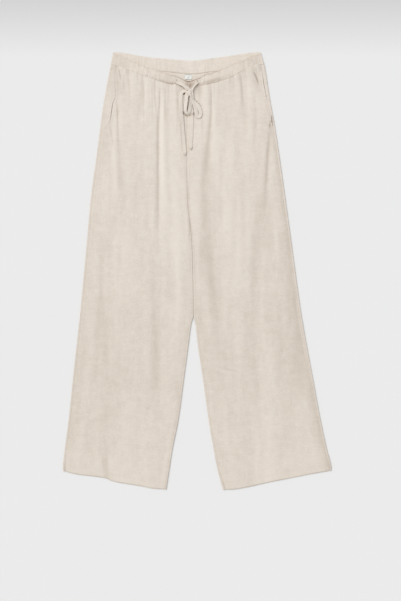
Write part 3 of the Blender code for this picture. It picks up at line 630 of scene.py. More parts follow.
def add_node(tree, kind, inputs=None, output=0, **settings):
    """A new node's output."""
    node = tree.nodes.new(kind)
    for key, value in settings.items():
        setattr(node, key, value)
    set_inputs(tree, node, inputs or {})
    return node.outputs[output] if node.outputs else None


def tinted(colour, shares=1.0):
    """A colour with its channels multiplied, at most white."""
    return (*np.minimum(np.array(colour[:]) * shares, 1.0).tolist(), 1.0)


class Pattern:
    """A material in the making, whose pattern keeps its place on the object."""

    def __init__(self, name):
        self.material = bpy.data.materials.new(name)
        self.material.use_nodes = True
        self.tree = self.material.node_tree
        self.place = self.node("ShaderNodeTexCoord", output="Object")

    def node(self, kind, inputs=None, output=0, **settings):
        return add_node(self.tree, kind, inputs, output, **settings)

    def noise(self, scale, detail, roughness=0.5, at=None):
        inputs = {"Vector": at or self.place, "Scale": scale, "Detail": detail, "Roughness": roughness}
        return self.node("ShaderNodeTexNoise", inputs)

    def ramp(self, value, low, high, to_low=0.0, to_high=1.0):
        inputs = {"Value": value, "From Min": low, "From Max": high, "To Min": to_low, "To Max": to_high}
        return self.node("ShaderNodeMapRange", inputs)

    def maths(self, operation, *values):
        return self.node("ShaderNodeMath", dict(enumerate(values)), operation=operation)

    def total(self, start, *parts):
        """A start and the sum of values, each times its share."""
        for value, share in parts:
            start = self.maths("MULTIPLY_ADD", value, share, start)
        return start

    def blend(self, share, first, second):
        return self.node("ShaderNodeMix", {"Factor": share, 6: first, 7: second}, 2, data_type="RGBA")

    def relief(self, height, strength, distance):
        return self.node("ShaderNodeBump", {"Height": height, "Strength": strength, "Distance": distance})

    def finished(self, inputs):
        set_inputs(self.tree, self.tree.nodes["Principled BSDF"], inputs)
        return self.material


def linen(name, colour, slub=1.0, grain_turn=0.0):
    """Heathered plain-weave linen: thick and thin threads both ways, flecks, painted shade in folds and
    painted highlight on their ridges.
    """
    made = Pattern(name)
    turned = made.node("ShaderNodeMapping", {"Vector": made.place, "Rotation": (0, 0, grain_turn)})
    axes = made.node("ShaderNodeSeparateXYZ", {"Vector": turned}).node.outputs

    def streaks(across, down, detail, seed):
        """Noise in cells of a size in metres."""
        spread = {"Vector": turned, "Location": (seed, seed * 0.7, 0), "Scale": (1 / across, 1 / down, 90.0)}
        return made.noise(1.0, detail, 0.55, made.node("ShaderNodeMapping", spread))

    noises = {kind: streaks(*row) for kind, row in STREAKS.items()}
    waves = (made.maths("SINE", made.maths("MULTIPLY", axes[axis], 2 * math.pi / THREAD)) for axis in "XY")
    weave = made.maths("MULTIPLY", *waves)
    shade = made.total(
        (1 - FLECKS * slub - 2 * PATCHES) / 2,  # each noise lies round a half
        (noises["flecks"], FLECKS * slub), (noises["patches"], PATCHES), (noises["drifts"], PATCHES),
        (made.ramp(axes["Y"], *LEG_TONE), 1.0), (weave, WEAVE_TONE),
    )
    height = made.total(0.0, (weave, WEAVE_RELIEF), (noises["flecks"], FLECK_RELIEF))
    for kind, (start, full, darker, raised) in SLUBS.items():
        threads = made.ramp(noises[kind], start, full)
        shade = made.total(shade, (threads, darker * slub))
        height = made.total(height, (threads, raised))
    hollow = made.node("ShaderNodeAttribute", output="Fac", attribute_name="hollow")
    base = made.blend(shade, tinted(colour, LINEN_DARK), tinted(colour, LINEN_PALE))
    base = made.blend(made.ramp(hollow, 0.0, DARKEST_PAINTED_SHADE), base, tinted(colour, LINEN_PAINTED_SHADE))
    base = made.blend(made.ramp(hollow, 0.0, -1.0), base, tinted(colour, LINEN_PAINTED_HIGHLIGHT))
    return made.finished({
        "Base Color": base, "Normal": made.relief(height, 0.5, 0.00016), "Roughness": 0.92,
        "Specular IOR Level": 0.22, "Sheen Weight": 0.10, "Sheen Roughness": 0.55,
    })


def sewing_thread(name, colour):
    """Twisted sewing thread."""
    made = Pattern(name)
    twist = made.blend(made.noise(2600.0, 1.0), tinted(colour, 0.86), tinted(colour))
    return made.finished({"Base Color": twist, "Roughness": 0.6})


def satin(name, colour):
    """Smooth woven label ribbon with a fine cross rib."""
    made = Pattern(name)
    waves = {"Vector": made.place, "Scale": 900.0, "Distortion": 0.6, "Detail": 1.0}
    rib = made.node("ShaderNodeTexWave", waves, "Fac", bands_direction="Y")
    shade = made.blend(rib, tinted(colour, 0.93), tinted(colour))
    return made.finished({"Base Color": shade, "Normal": made.relief(rib, 0.3, 0.0001), "Roughness": 0.45})


def paper(name, colour):
    """Plain matt studio floor, with painted shade making it a little darker towards the back of the studio.
    """
    made = Pattern(name)
    start, end, share = FLOOR_SHADE_FADE
    far = made.ramp(made.node("ShaderNodeSeparateXYZ", {"Vector": made.place}, "Y"), start, end)
    near_shade = made.blend(made.noise(3.0, 2.0), tinted(colour, 0.99), tinted(colour))
    shade = made.blend(far, near_shade, tinted(colour, share))
    return made.finished({"Base Color": shade, "Roughness": 0.95, "Specular IOR Level": 0.1})


# How each finish is made: its maker, the material's name, its colour's setting, what else the maker is told
FINISHES = {
    "linen": (linen, "Leg linen", "linen"),
    "linen_inside": (linen, "Leg linen, back", "linen"),
    "band": (linen, "Waistband linen", "band"),
    "pocket": (linen, "Pocket linen", "pocket", 0.7),
    "tie": (linen, "Tie linen", "tie", 0.6, math.pi / 2),
    "thread": (sewing_thread, "Sewing thread", "thread"),
    "label": (satin, "Label ribbon", "label"),
    "floor": (paper, "Studio floor", "floor"),
}
MADE = {}  # the finishes made so far


def finish(name):
    """One of the shared finishes, made the first time that it is asked for."""
    if name not in MADE:
        maker, title, colour, *more = FINISHES[name]
        MADE[name] = maker(title, getattr(bpy.context.scene.trousers_finish, colour), *more)
    return MADE[name]


# ---------------------------------------------------------------------------------------- legs

# Where the points of a leg lie: a place, and their spacing there
FRONT_DOWN = ((0, 0.7), (6, 1.2), (60, 1.9), (190, 3.2), (955, 3.7), (978, 1.2), (996, 0.9), (1000, 0.3))
FRONT_ACROSS = ((0, 0.35), (4, 0.9), (14, 1.7), (240, 1.7), (250, 0.9), (254, 0.35))
BACK_DOWN = ((0, 1.0), (60, 2.6), (200, 4.4), (955, 4.8), (978, 1.5), (1000, 0.6))
FRONT_ROWS, FRONT_COLUMNS, BACK_ROWS = 330, 140, 240
WRAP_COLUMNS, ROLL_COLUMNS, FLAT_COLUMNS = 12, 9, 76
LEAD_IN = 3.0  # cloth that lies flat before an edge begins to turn
STUB = 0.5  # what is left of the turned-over cloth where an edge isn't turned
COVERED = 0.62  # height of an inner roll, as a share, while the front still lies over it
BACK_RISE_SHARE = 0.22  # the backs' upper edge differs from the fronts' along this share of the length
HEM_DROP_SHARE = 0.1
BAND_TUCK = 2.0  # the cloth goes this far up under the waistband
FRONT_BLUR, BACK_BLUR = 60, 4  # passes of blur, against which a point is deep or raised
FULL_HOLLOW = 0.9  # depth at which a fold has its full painted shade
EDGE_SHADE = {"right": 0.0, "left": 0.42}  # the left side's edge turns away from the light
EDGE_SHADE_WIDTH = 17.0
RIM_SHADE, RIM_WIDTH = {"right": 0.36, "left": 0.28}, 4.5
HEM_PALE, HEM_PALE_LENGTH = 0.16, 110.0  # pressed hems catch more light
SHADE_LEVELS = (120, 170)  # the edge's shade comes in between these levels
LYING, LYING_IN = (1.2, 0.0), (2, 10)  # heights and distances from the edge over which troughs come in
# A back's hem, read from its underside: dip and half width at the stitches and at the fold
BACK_STITCHES, BACK_FOLD = (0.4, 1.6), (0.7, 0.8)
ON_TOP = (SEAM_HEIGHT - 0.6, SEAM_HEIGHT - 0.1)  # between these heights a point comes to the front
NARROW_RELIEF, WIDE = 0.25, (WRAP, WRAP + 8)  # relief's share at the first width, which is full at the other
SIDE_SEED = 71
RIM_FROM = 1.0  # the rim's shade is only on points above this height


def leg_levels(leg, x_at, down):
    """Level of points down a leg, from under the waistband to the hem."""
    top = end = np.zeros_like(x_at(0.0))
    for _ in range(EDGE_PASSES):
        top = read(WAIST_FRONT, SEAM, x_at(top)) - BAND_TUCK
        end = read(leg.hem, 1, x_at(end))
    return mix(top[None, :], end[None, :], down[:, None])


def make_front(leg):
    share = graded(FRONT_ACROSS, FRONT_COLUMNS)[:: -leg.outward]

    def x_at(level):
        return mix(leg.front_outer(level), leg.front_inner(level), share)

    level = leg_levels(leg, x_at, graded(FRONT_DOWN, FRONT_ROWS))
    x = x_at(level)
    z = front_skin(leg, x, level)
    # painted shade: darker in the folds and a painted highlight on their ridges, with painted bands and gap
    # shadows, darker along the left side's edge, and a painted highlight on the pressed hem
    hollow = (blurred(z, FRONT_BLUR) - z) / FULL_HOLLOW + painted_shade_at(x, level)
    from_side = (leg.front_outer(level) - x) * leg.outward
    hollow = hollow + EDGE_SHADE[leg.name] * fade(from_side, EDGE_SHADE_WIDTH, 0) * fade(level, *SHADE_LEVELS)
    hollow = hollow - HEM_PALE * fade(leg.to_hem(x, level), HEM_PALE_LENGTH, 0)
    name, points = f"linen_front_{leg.name}", place(x, level, z)
    return give_wall(new_piece(name, points, grid_faces(*x.shape), "linen", hollow), CLOTH)


def rolled(edge, outward, turned, wrap, height=1.0, shows=1.0):
    """Columns x, z of cloth that leaves the surface, rolls round an edge and lies back on top."""
    angle = math.pi * turned
    straight = mix(STUB, wrap, turned * turned)
    reach = np.where(turned >= 0.5, ROLL, ROLL * np.sin(angle) + straight * np.cos(angle))
    begin = edge - outward * reach
    flat = LEAD_IN * (1 - turned)
    bent = flat + ROLL * angle
    lengths = [bent * k / ROLL_COLUMNS for k in range(ROLL_COLUMNS + 1)]
    lengths += [bent + straight * k / WRAP_COLUMNS for k in range(1, WRAP_COLUMNS + 1)]
    columns = []
    for length in lengths:
        along = length - flat
        past = np.maximum(along - ROLL * angle, 0.0)
        bend = np.clip(along / ROLL, 0.0, angle)
        x = np.where(along <= 0, along, ROLL * np.sin(bend) + past * np.cos(angle))
        z = np.where(along <= 0, 0.0, ROLL * (1 - np.cos(bend)) + past * np.sin(angle))
        tuck = SEAM_TUCK * bump(straight - past, TUCK_HALF) * turned * shows
        columns.append((begin + outward * x, (z - tuck) * height * PRESS))
    return columns


def back_section(leg, level):
    """A back's outer face across given levels, from its side seam under the leg to its inner edge."""
    seam_in = read(SIDE_SEAM_IN, leg.seam_in, level)
    side = rolled(leg.side(level), leg.outward, np.ones_like(level), seam_in, 1.0, leg.seam_shows(level))
    covered = mix(COVERED, 1.0, leg.turned_front(level))
    inner = rolled(leg.inner(level), -leg.outward, leg.turned(level), np.full_like(level, WRAP), covered)
    start, end = side[0][0], inner[0][0]
    flat = [(mix(start, end, k / FLAT_COLUMNS), np.zeros_like(level)) for k in range(1, FLAT_COLUMNS)]
    return [np.stack(part, -1) for part in zip(*side[::-1], *flat, *inner)]


def make_back(leg):
    down = graded(BACK_DOWN, BACK_ROWS)
    count = back_section(leg, np.zeros(1))[0].shape[1]

    def x_at(level):
        return back_section(leg, np.broadcast_to(np.asarray(level, float), count))[0].diagonal()

    def section(levels):
        x, z = np.empty_like(levels), np.empty_like(levels)
        for k in range(count):
            x[:, k], z[:, k] = (part[:, k] for part in back_section(leg, levels[:, k]))
        return x, z

    level = leg_levels(leg, x_at, down)
    x, z = section(level)
    higher = read(WAIST_FRONT, SEAM, x) - read(WAIST_BACK, SEAM, x)
    level = level - np.where(z < ROLL, higher * fade(down, BACK_RISE_SHARE, 0)[:, None], 0.0)
    level = level + BACK_HEM_DROP * fade(down, 1 - HEM_DROP_SHARE, 1)[:, None]
    x, z = section(level)
    from_edge = leg.from_edge(x, level)
    to_hem = leg.to_hem(x, level) + BACK_HEM_DROP
    # the face that lies on the surface
    lying = fade(z, *LYING) * fade(from_edge, *LYING_IN)
    (dip, dip_half), (fold, fold_half) = BACK_STITCHES, BACK_FOLD
    stitched = dip * bump(to_hem - sizes().hem_depth, dip_half) + fold * bump(to_hem, fold_half)
    on_top = fade(z, *ON_TOP)
    z = z + lying * (sizes().fold_depth * back_relief(x, level) + stitched)
    # the cloth turned over to the front
    wide = fade(abs(leg.side_seam(level) - leg.side(level)) - ROLL, *WIDE)
    relief = clouds(SIDE_RELIEF, x, level, SIDE_SEED) * mix(NARROW_RELIEF, 1.0, wide)
    z = z + on_top * (relief + hem_form(to_hem, x))
    # painted shade in the folds of the cloth turned over to the front, with painted bands and gap shadows,
    # and along the rolled rims
    shade = (blurred(z, BACK_BLUR) - z) / FULL_HOLLOW + painted_shade_at(x, level)
    hollow = np.where(on_top > 0.5, shade, 0.0)
    hollow = hollow + RIM_SHADE[leg.name] * bump(from_edge, RIM_WIDTH) * (z > RIM_FROM)
    faces = grid_faces(*x.shape, flip=leg.outward < 0)
    piece = new_piece(f"linen_back_{leg.name}", place(x, level, z), faces, "linen_inside", hollow)
    return give_wall(piece, CLOTH)


class TROUSERS_OT_fronts(bpy.types.Operator):
    """Make the fronts of both legs, with their folds, seams and hems"""

    bl_idname = "trousers.fronts"
    bl_label = "Fronts"

    def execute(self, context):
        for leg in LEGS:
            piece = make_front(leg)
            settle(piece, "linen", f"front_{leg.name}_leg")
        return {"FINISHED"}


class TROUSERS_OT_backs(bpy.types.Operator):
    """Make the backs of both legs, flat on the surface and rolled over at their edges"""

    bl_idname = "trousers.backs"
    bl_label = "Backs"

    def execute(self, context):
        for leg in LEGS:
            piece = make_back(leg)
            settle(piece, "linen", f"back_{leg.name}_leg")
        return {"FINISHED"}


# ---------------------------------------------------------------------------------------- waistband

FRONT_STATIONS, BACK_STATIONS, TURN_STATIONS = 480, 320, 10
FACE_POINTS, EDGE_POINTS = 13, 5
TURN_INSET = 2.4
BAND_LAP = 0.6  # the band laps this much over the legs' cloth
BACK_HALF = 0.95  # half the wall of the band's back
FRONT_RUCHE, BACK_RUCHE, TICK = 9.5, 12.0, 4.9  # from ridge to ridge, and from pinch to pinch
TOP_LINE, TOP_LINE_HALF = 0.13, 0.035  # the fold of the upper edge: share down the band, half width
# Stretches of the front band: x of the middle, half width, how strongly
DRAWN_UP = ((-62.0, 30.0, 1.1), (33.0, 31.0, 1.0))  # the most pinched, the deepest in painted shade at the seam
SHADED_STRETCH, SHADED_STRETCH_LEFT = (-74.0, 34.0, 0.28), (30.0, 32.0, 0.15)  # deeper in painted shade all the way down
MIDDLE, MIDDLE_LEFT = (-10.0, 50.0, 1.0), 0.20  # the upper edge's painted shade, and how much goes on to the left
SEAM_SHADE = (0.62, 0.40, 0.38)  # share down the band where the seam's painted shade begins right and left, its reach
PINCH = (-18.5, 76.0, 13.0, 7.5)  # x and level of the cloth pinched between the ties, its half sizes
BUTTONHOLES = ((-49.0, 71.6), (-0.4, 73.6))  # x, level, in the order of the legs
BUTTONHOLE_LENGTH = 9.0


def ruches(along, down, pitch, seed):
    """Uneven height of cloth drawn up on elastic, about 0 on average. Down goes from 0 to 1."""
    lumps = clouds(((0.55, pitch, 13 / 16), (0.35, pitch / 2, 7 / 22)), along, down, seed)
    drift = clouds(((2.2, 22, 6), (0.8, 7, 9 / 8)), along, down, seed + 2)
    strength = 0.3 + 0.3 * cloud(along, down, 16, 4 / 3, seed + 4)
    return lumps + strength * np.cos((2 * along / pitch + drift) * math.pi)


def ticks(along, down, seed):
    """Narrow pinches where gathered cloth enters a seam: 1 in a pinch, only near the lower edge."""
    drift = 1.6 * cloud(along, 0 * along, 9, 1, seed)
    pinch = (0.5 + 0.5 * np.cos((2 * along / TICK + drift) * math.pi)) ** 3
    keep = smooth(0.75 + 0.9 * cloud(along, 0 * along, 6, 1, seed + 1))
    return pinch * keep * fade(down, 0.62, 1)


def stretch(x, middle, half_width, strength):
    return strength * bump(x - middle, half_width)


def band_section():
    """Points round a flat band: share down its height, rounding below or above it, side of its wall."""
    face, turn = np.linspace(0, 1, FACE_POINTS), math.pi * np.arange(1, EDGE_POINTS) / EDGE_POINTS
    down = np.concatenate((face, turn * 0 + 1, 1 - face, turn * 0))
    beyond = np.concatenate((face * 0, np.sin(turn), face * 0, -np.sin(turn)))
    side = np.concatenate((face * 0 + 1, np.cos(turn), face * 0 - 1, -np.cos(turn)))
    return down[None, :], beyond[None, :], side[None, :]


def band_stations():
    """Share of the way to the left side, and angle of the band's face, at each station of the ring."""
    front, back = np.linspace(0, 1, FRONT_STATIONS), np.linspace(1, 0, BACK_STATIONS)
    turn = (np.arange(TURN_STATIONS) + 0.5) / TURN_STATIONS * math.pi
    share = np.concatenate((front, turn * 0 + 1, back, turn * 0))
    tilt = np.concatenate((front * 0, turn, back * 0 + math.pi, math.pi + turn))
    return share[:, None], tilt[:, None]


def band_painted_shade(x, level, down, lumps, tick, pinch, gathered):
    """Painted shade on the front band: more in the pinches, towards the gathered seam and by the ties, less
    on the ruches' lumps.
    """
    stretch_shade = stretch(x, *SHADED_STRETCH) + stretch(x, *SHADED_STRETCH_LEFT) * mix(0.4, 1.0, fade(down, 0.2, 0.8))
    crumpled = 1.5 * pinch * (1 + 0.9 * cloud(x, level, 3.4, 2.6, 97))
    seam_from = mix(*SEAM_SHADE[:2], fade(x, -10, 20))
    lower = fade(down, seam_from, seam_from + SEAM_SHADE[2]) * np.clip(gathered, 0, 1.2)
    return 0.04 + stretch_shade - 0.24 * lumps + tick + crumpled + lower + painted_shade_at(x, level)


def make_waistband():
    """The waistband as one ring: across the front, round the left side, back underneath, round the right."""
    share, tilt = band_stations()
    on_front = (1 + np.cos(tilt)) / 2
    on_back = 1 - on_front

    def x_line(level):
        low, high = read(OUTLINE, RIGHT_SIDE, level), read(OUTLINE, LEFT_SIDE, level)
        return mix(low + TURN_INSET, high - TURN_INSET, share)

    def edge_level(column, level):
        x = x_line(level)
        return mix(read(WAIST_BACK, column, x), read(WAIST_FRONT, column, x), on_front)

    top = seam = np.zeros_like(share)
    for _ in range(EDGE_PASSES):
        top, seam = edge_level(TOP, top), edge_level(SEAM, seam)
    seam = seam + BAND_LAP
    middle_x = x_line((top + seam) / 2)
    half = mix(BACK_HALF, mix(BAND_THIN, BAND_THICK, in_from_ends(middle_x)), on_front)
    front_z, back_z = band_front_skin(middle_x) - half, BACK_HALF + 0.05
    radius = (front_z - back_z) / 2
    line_x, line_z = radius * np.sin(tilt), (front_z + back_z) / 2 + radius * np.cos(tilt)
    steps = np.hypot(np.diff(middle_x, axis=0), np.diff(line_z, axis=0))
    along = np.concatenate((np.zeros((1, 1)), np.cumsum(steps, axis=0)))

    down, beyond, side = band_section()
    level = mix(top + half, seam - half, down) + beyond * half
    x = x_line(level)
    outside = side > 0
    depth = sizes().ruche_depth
    front_lumps, back_lumps = ruches(along, down, FRONT_RUCHE, 81), ruches(along, down, BACK_RUCHE, 91)
    pinch_x = bump(x - PINCH[0], PINCH[2])
    pinch = pinch_x * bump(level - PINCH[1], PINCH[3])
    gathered = stretch(x, *DRAWN_UP[0]) + stretch(x, *DRAWN_UP[1])
    tick = ticks(along, down, 85) * mix(0.15, 1.0, np.clip(gathered, 0, 1))
    # the ridges and pinches in the wall
    front_wave = depth * (front_lumps * (0.6 + 0.5 * pinch_x) - 0.8 * tick - 0.7 * pinch)
    front_wave = front_wave - 0.26 * bump(down - TOP_LINE, TOP_LINE_HALF)
    back_wave = np.where(outside, -0.35 * (1 - back_lumps), 0.40 * back_lumps)
    wave = on_front * front_wave * np.where(outside, 1.0, 0.3) + on_back * back_wave
    calm = mix(0.35, 1.0, fade(np.abs(np.cos(tilt)), 2 / 3, 1)) * np.where(beyond != 0, 0.5, 1.0)
    push = side * (half + calm * wave)
    uneven = depth * (down > 0.8) * (0.35 * front_lumps - 0.5 * tick) - 0.45 * (down < 0.2) * front_lumps
    level = level + on_front * uneven * (1 + np.abs(beyond))
    # painted shade: on the front, along its upper edge, and on what shows of the back, with a painted shadow
    # along the back's lower seam
    front_painted_shade = band_painted_shade(x, level, down, front_lumps, tick, pinch, gathered)
    near_middle = np.maximum(stretch(x, *MIDDLE), MIDDLE_LEFT * fade(x, 30, 50))
    top_rim_shade = np.where(beyond < 0, 1.0, bump(down, TOP_LINE_HALF)) * (down < 0.2)
    back_seam_shadow = bump(1 - down, 0.05) * fade(x, -105, -40) * fade(x, 56, 22)
    hollow = on_front * (outside * front_painted_shade + 1.9 * top_rim_shade * near_middle)
    hollow = hollow + on_back * ~outside * (0.03 - 0.22 * back_lumps + back_seam_shadow)
    # each buttonhole sinks as a slot and is darkened with painted shade
    for hole_x, hole_level in BUTTONHOLES:
        off_end = BUTTONHOLE_LENGTH / 2 - np.abs(level - hole_level)
        slot = bump(x - hole_x, 0.95) * fade(off_end, 0, 1.2) * on_front
        push = push - 1.7 * slot * outside
        hollow = hollow + slot
    x = x + line_x + np.sin(tilt) * push
    points = place(x, level, np.maximum(line_z + np.cos(tilt) * push, 0.0))
    rows, columns = x.shape
    faces = grid_faces(rows + 1, columns, closed=True, flip=True) % (rows * columns)
    return new_piece("linen_waistband", points, faces, "band", hollow)


class TROUSERS_OT_waistband(bpy.types.Operator):
    """Make the ruched waistband as one ring round front and back"""

    bl_idname = "trousers.waistband"
    bl_label = "Waistband"

    def execute(self, context):
        piece = settle(make_waistband(), "linen_band", "waistband_front", "waistband_back")
        return {"FINISHED"}


# ---------------------------------------------------------------------------------------- pockets, label

FACING_IN, FACING_OUT = 8.0, 14.0  # width of a facing under the front and beyond its seam
FACING_ROOM = 0.3  # it stays this far from the roll
FACING_HEIGHT, FACING_WAVE, FACING_CLOUD = 2.1, 0.3, (6.0, 30.0, 101)
# painted shade of the facings, which lie deep in the pockets' mouths
FACING_SHADE = 0.15
FACING_ROWS, FACING_COLUMNS = 40, 16
POCKET_SPAN = {"right": (58.0, 166.0), "left": (52.0, 168.0)}
LABEL_PLACE, LABEL_SIZE = (-22.3, 60.6), (17.0, 12.0)
LABEL_WALL = 0.35


def make_facing(leg):
    """The pocket's own cloth, seen in its mouth."""
    level = np.repeat(np.linspace(*POCKET_SPAN[leg.name], FACING_ROWS)[:, None], FACING_COLUMNS, 1)
    seam = leg.side_seam(level)
    room = np.abs(leg.side(level) - seam) - ROLL - FACING_ROOM
    edges = seam - leg.outward * FACING_IN, seam + leg.outward * np.minimum(FACING_OUT, room)
    x = mix(np.minimum(*edges), np.maximum(*edges), np.linspace(0, 1, FACING_COLUMNS)[None, :])
    points = place(x, level, FACING_HEIGHT + FACING_WAVE * cloud(x, level, *FACING_CLOUD))
    # painted shade over the whole facing, with the mouth's gap shadows
    hollow = FACING_SHADE + painted_shade_at(x, level)
    piece = new_piece(f"pocket_linen_{leg.name}", points, grid_faces(*x.shape), "pocket", hollow)
    return give_wall(piece, CLOTH)


def make_label():
    """A blank woven tab, its lower corners lifting a little."""
    u, v = np.meshgrid(np.linspace(-0.5, 0.5, 20), np.linspace(0, 1, 14))
    x = LABEL_PLACE[0] + LABEL_SIZE[0] * u + 0.4 * v
    level = LABEL_PLACE[1] + LABEL_SIZE[1] * (v - 0.5)
    z = 1.9 + 0.4 * v * v + 0.4 * v * (2 * u) ** 2 + 0.55 * np.sin(9.0 * u + 3.0 * v + 1.0) * (0.3 + v)
    return give_wall(new_piece("blank_label", place(x, level, z), grid_faces(*x.shape), "label"), LABEL_WALL)


class TROUSERS_OT_pockets(bpy.types.Operator):
    """Make the pockets' facings"""

    bl_idname = "trousers.pockets"
    bl_label = "Pockets"

    def execute(self, context):
        for leg in LEGS:
            piece = settle(make_facing(leg), "pocket_cloth", f"pocket_facing_{leg.name}")
        return {"FINISHED"}


class TROUSERS_OT_label(bpy.types.Operator):
    """Make the blank label under the back waistband"""

    bl_idname = "trousers.label"
    bl_label = "Label"

    def execute(self, context):
        piece = settle(make_label(), "label", "size_label")
        return {"FINISHED"}


# ---------------------------------------------------------------------------------------- drawstring

TIE_WALL = 2.0
TIE_STEP = 1.5
TIE_SECTION = 16
HOLE_RISE = -1.2  # a tie starts inside the waistband
TIE_LIES = (2.6, 1.8)  # below these heights over the cloth a tie takes on the painted shade of the place it lies on
HOLE_SHADE, HOLE_SHADE_REACH = 0.6, 7.0  # a tie lies in shade where it leaves its buttonhole
KNOT_RISE, TIP_RISE, TIP_OVERLAP = 4.1, 2.4, 1.5
KNOT_CORE = (5.4, 7.0, 3.2)
# Turns of the tie over the bow's middle: heading in degrees, half length, half height, shift aside, width
KNOT_TURNS = ((82, 7.9, 4.1, -1.0, 6.0), (28, 6.0, 3.4, 0.6, 8.6))
KNOT_WALL = 1.7
CORE_CREASES, CORE_CREASE = 7, 0.10
TIP_SECTION = (3.0, 2.5)  # width and wall of the strip in a tip's knot
TIP_SIZE, TIP_LOOPS = (1.35, 1.25, -1.05), 1.15  # of the trefoil that it follows, and of its inner turns
RIPPLES = ((0.05, 0.9), (0.03, 0.37))  # of a tie's width: share, radians a step


def smooth_route(route):
    """Points x, level, height and tilt along a smooth curve through a route's own points."""
    own = [(x, level, top_skin(x, level) + rise, math.radians(tilt)) for x, level, rise, tilt in route]
    own = np.array([own[0], *own, own[-1]])
    points = []
    for a, b, c, d in zip(own, own[1:], own[2:], own[3:]):
        count = max(1, round(math.dist(b[:3], c[:3]) / TIE_STEP))
        bend, turn = 2 * a - 5 * b + 4 * c - d, 3 * b - a - 3 * c + d
        for t in np.arange(count) / count:
            points.append(b + 0.5 * ((c - a) * t + bend * t * t + turn * t ** 3))
    return np.array([*points, own[-1]])


def ribbon_section(width, wall):
    """A folded strip: rounded edges, a faint channel down the middle."""
    angle = 2 * math.pi * np.arange(TIE_SECTION) / TIE_SECTION
    across = np.sign(np.cos(angle)) * np.abs(np.cos(angle)) ** 0.55
    thick = np.sign(np.sin(angle)) * np.abs(np.sin(angle)) ** 0.7
    thick = thick * (1 - 0.22 * bump(across, 0.35))
    return across[:, None] * width / 2 * MM, thick[:, None] * wall / 2 * MM


def sweep(bm, centres, widths, faces, width, wall, closed=True):
    """Adds a strip along centres in metres, with the directions of its width and its face at each."""
    across, thick = ribbon_section(width, wall)
    rings = centres[:, None] + widths[:, None] * across + faces[:, None] * thick
    verts = [[bm.verts.new(point) for point in ring] for ring in rings.tolist()]
    for before, after in zip(verts, verts[1:] + verts[: int(closed)]):
        for k in range(TIE_SECTION):
            bm.faces.new((before[k - 1], before[k], after[k], after[k - 1]))
    if not closed:
        bm.faces.new(verts[0])
        bm.faces.new(verts[-1][::-1])
    return rings


def tie_piece(bm, name, centre=(0.0, 0.0, 0.0), hollow=None):
    """Turns the faces of tie cloth outwards and makes it a piece in its place."""
    bmesh.ops.recalc_face_normals(bm, faces=bm.faces)
    bmesh.ops.translate(bm, verts=bm.verts, vec=centre)
    mesh = bpy.data.meshes.new(name)
    bm.to_mesh(mesh)
    bm.free()
    return dressed(mesh, "tie", hollow)


def make_tie(name, route):
    """A flat tie along its route, and its centres in metres."""
    x, level, height, tilt = smooth_route(route).T
    centres = place(x, level, height)
    along = unit(np.gradient(centres, axis=0))
    level_side = unit(np.cross((0, 0, 1), along))
    tilt = tilt[:, None]
    widths = np.cos(tilt) * level_side + np.sin(tilt) * np.cross(along, level_side)
    steps = np.arange(len(centres))[:, None]
    ripple = 1 + sum(share * np.sin(steps * turn) for share, turn in RIPPLES)
    bm = bmesh.new()
    rings = sweep(bm, centres, widths * ripple, np.cross(along, widths), TIE_WIDTH, TIE_WALL, closed=False)
    # a tie that lies low takes on the painted shade of the cloth under it, and lies in painted shade by its
    # buttonhole
    over = height - np.array([top_skin(*at) for at in zip(x, level)])
    from_hole = np.linalg.norm(centres - centres[0], axis=1) / MM
    hollow = painted_shade_at(rings[..., 0] / MM, LENGTH / 2 - rings[..., 1] / MM) * fade(over, *TIE_LIES)[:, None]
    hollow = hollow + HOLE_SHADE * bump(from_hole, HOLE_SHADE_REACH)[:, None]
    return tie_piece(bm, name, hollow=hollow), centres


def make_bow_knot():
    """The bow's middle: a soft core with the tie wrapped over it."""
    bm = bmesh.new()
    bmesh.ops.create_uvsphere(bm, u_segments=28, v_segments=18, radius=MM)
    for vert in bm.verts:
        x, y, z = vert.co / MM
        crease = CORE_CREASE * math.sin(CORE_CREASES * math.atan2(y, x) + 2 * z) * (1 - abs(z))
        vert.co = Vector([at * half for at, half in zip((x, y, z), KNOT_CORE)]) * (1 + crease) * MM
    angle = 2 * math.pi * np.arange(40)[:, None] / 40
    for heading, radius, rise, shift, width in KNOT_TURNS:
        turn = math.radians(heading)
        out = np.cos(angle) * (math.cos(turn), math.sin(turn), 0.0)
        up = np.sin(angle) * (0.0, 0.0, 1.0)
        aside = np.array((-math.sin(turn), math.cos(turn), 0.0))
        centres = (out * radius + up * rise + aside * shift) * MM
        sweep(bm, centres, aside + 0 * centres, unit(out / radius + up / rise), width, KNOT_WALL)
    return tie_piece(bm, "tie_bow_knot", place(*KNOT, top_skin(*KNOT) + KNOT_RISE))


def make_tip_knot(name, x, level):
    """An overhand knot in the end of a tie."""
    a = 2 * math.pi * np.arange(72) / 72
    across, down = np.sin(a) + TIP_LOOPS * np.sin(2 * a), np.cos(a) - TIP_LOOPS * np.cos(2 * a)
    centres = np.stack((across, down, np.sin(3 * a)), -1) * TIP_SIZE * MM
    along = unit(np.roll(centres, -1, axis=0) - np.roll(centres, 1, axis=0))
    outward = unit(centres - along * (centres * along).sum(axis=1, keepdims=True))
    bm = bmesh.new()
    sweep(bm, centres, np.cross(along, outward), outward, *TIP_SECTION)
    return tie_piece(bm, name, place(x, level, top_skin(x, level) + TIP_RISE))


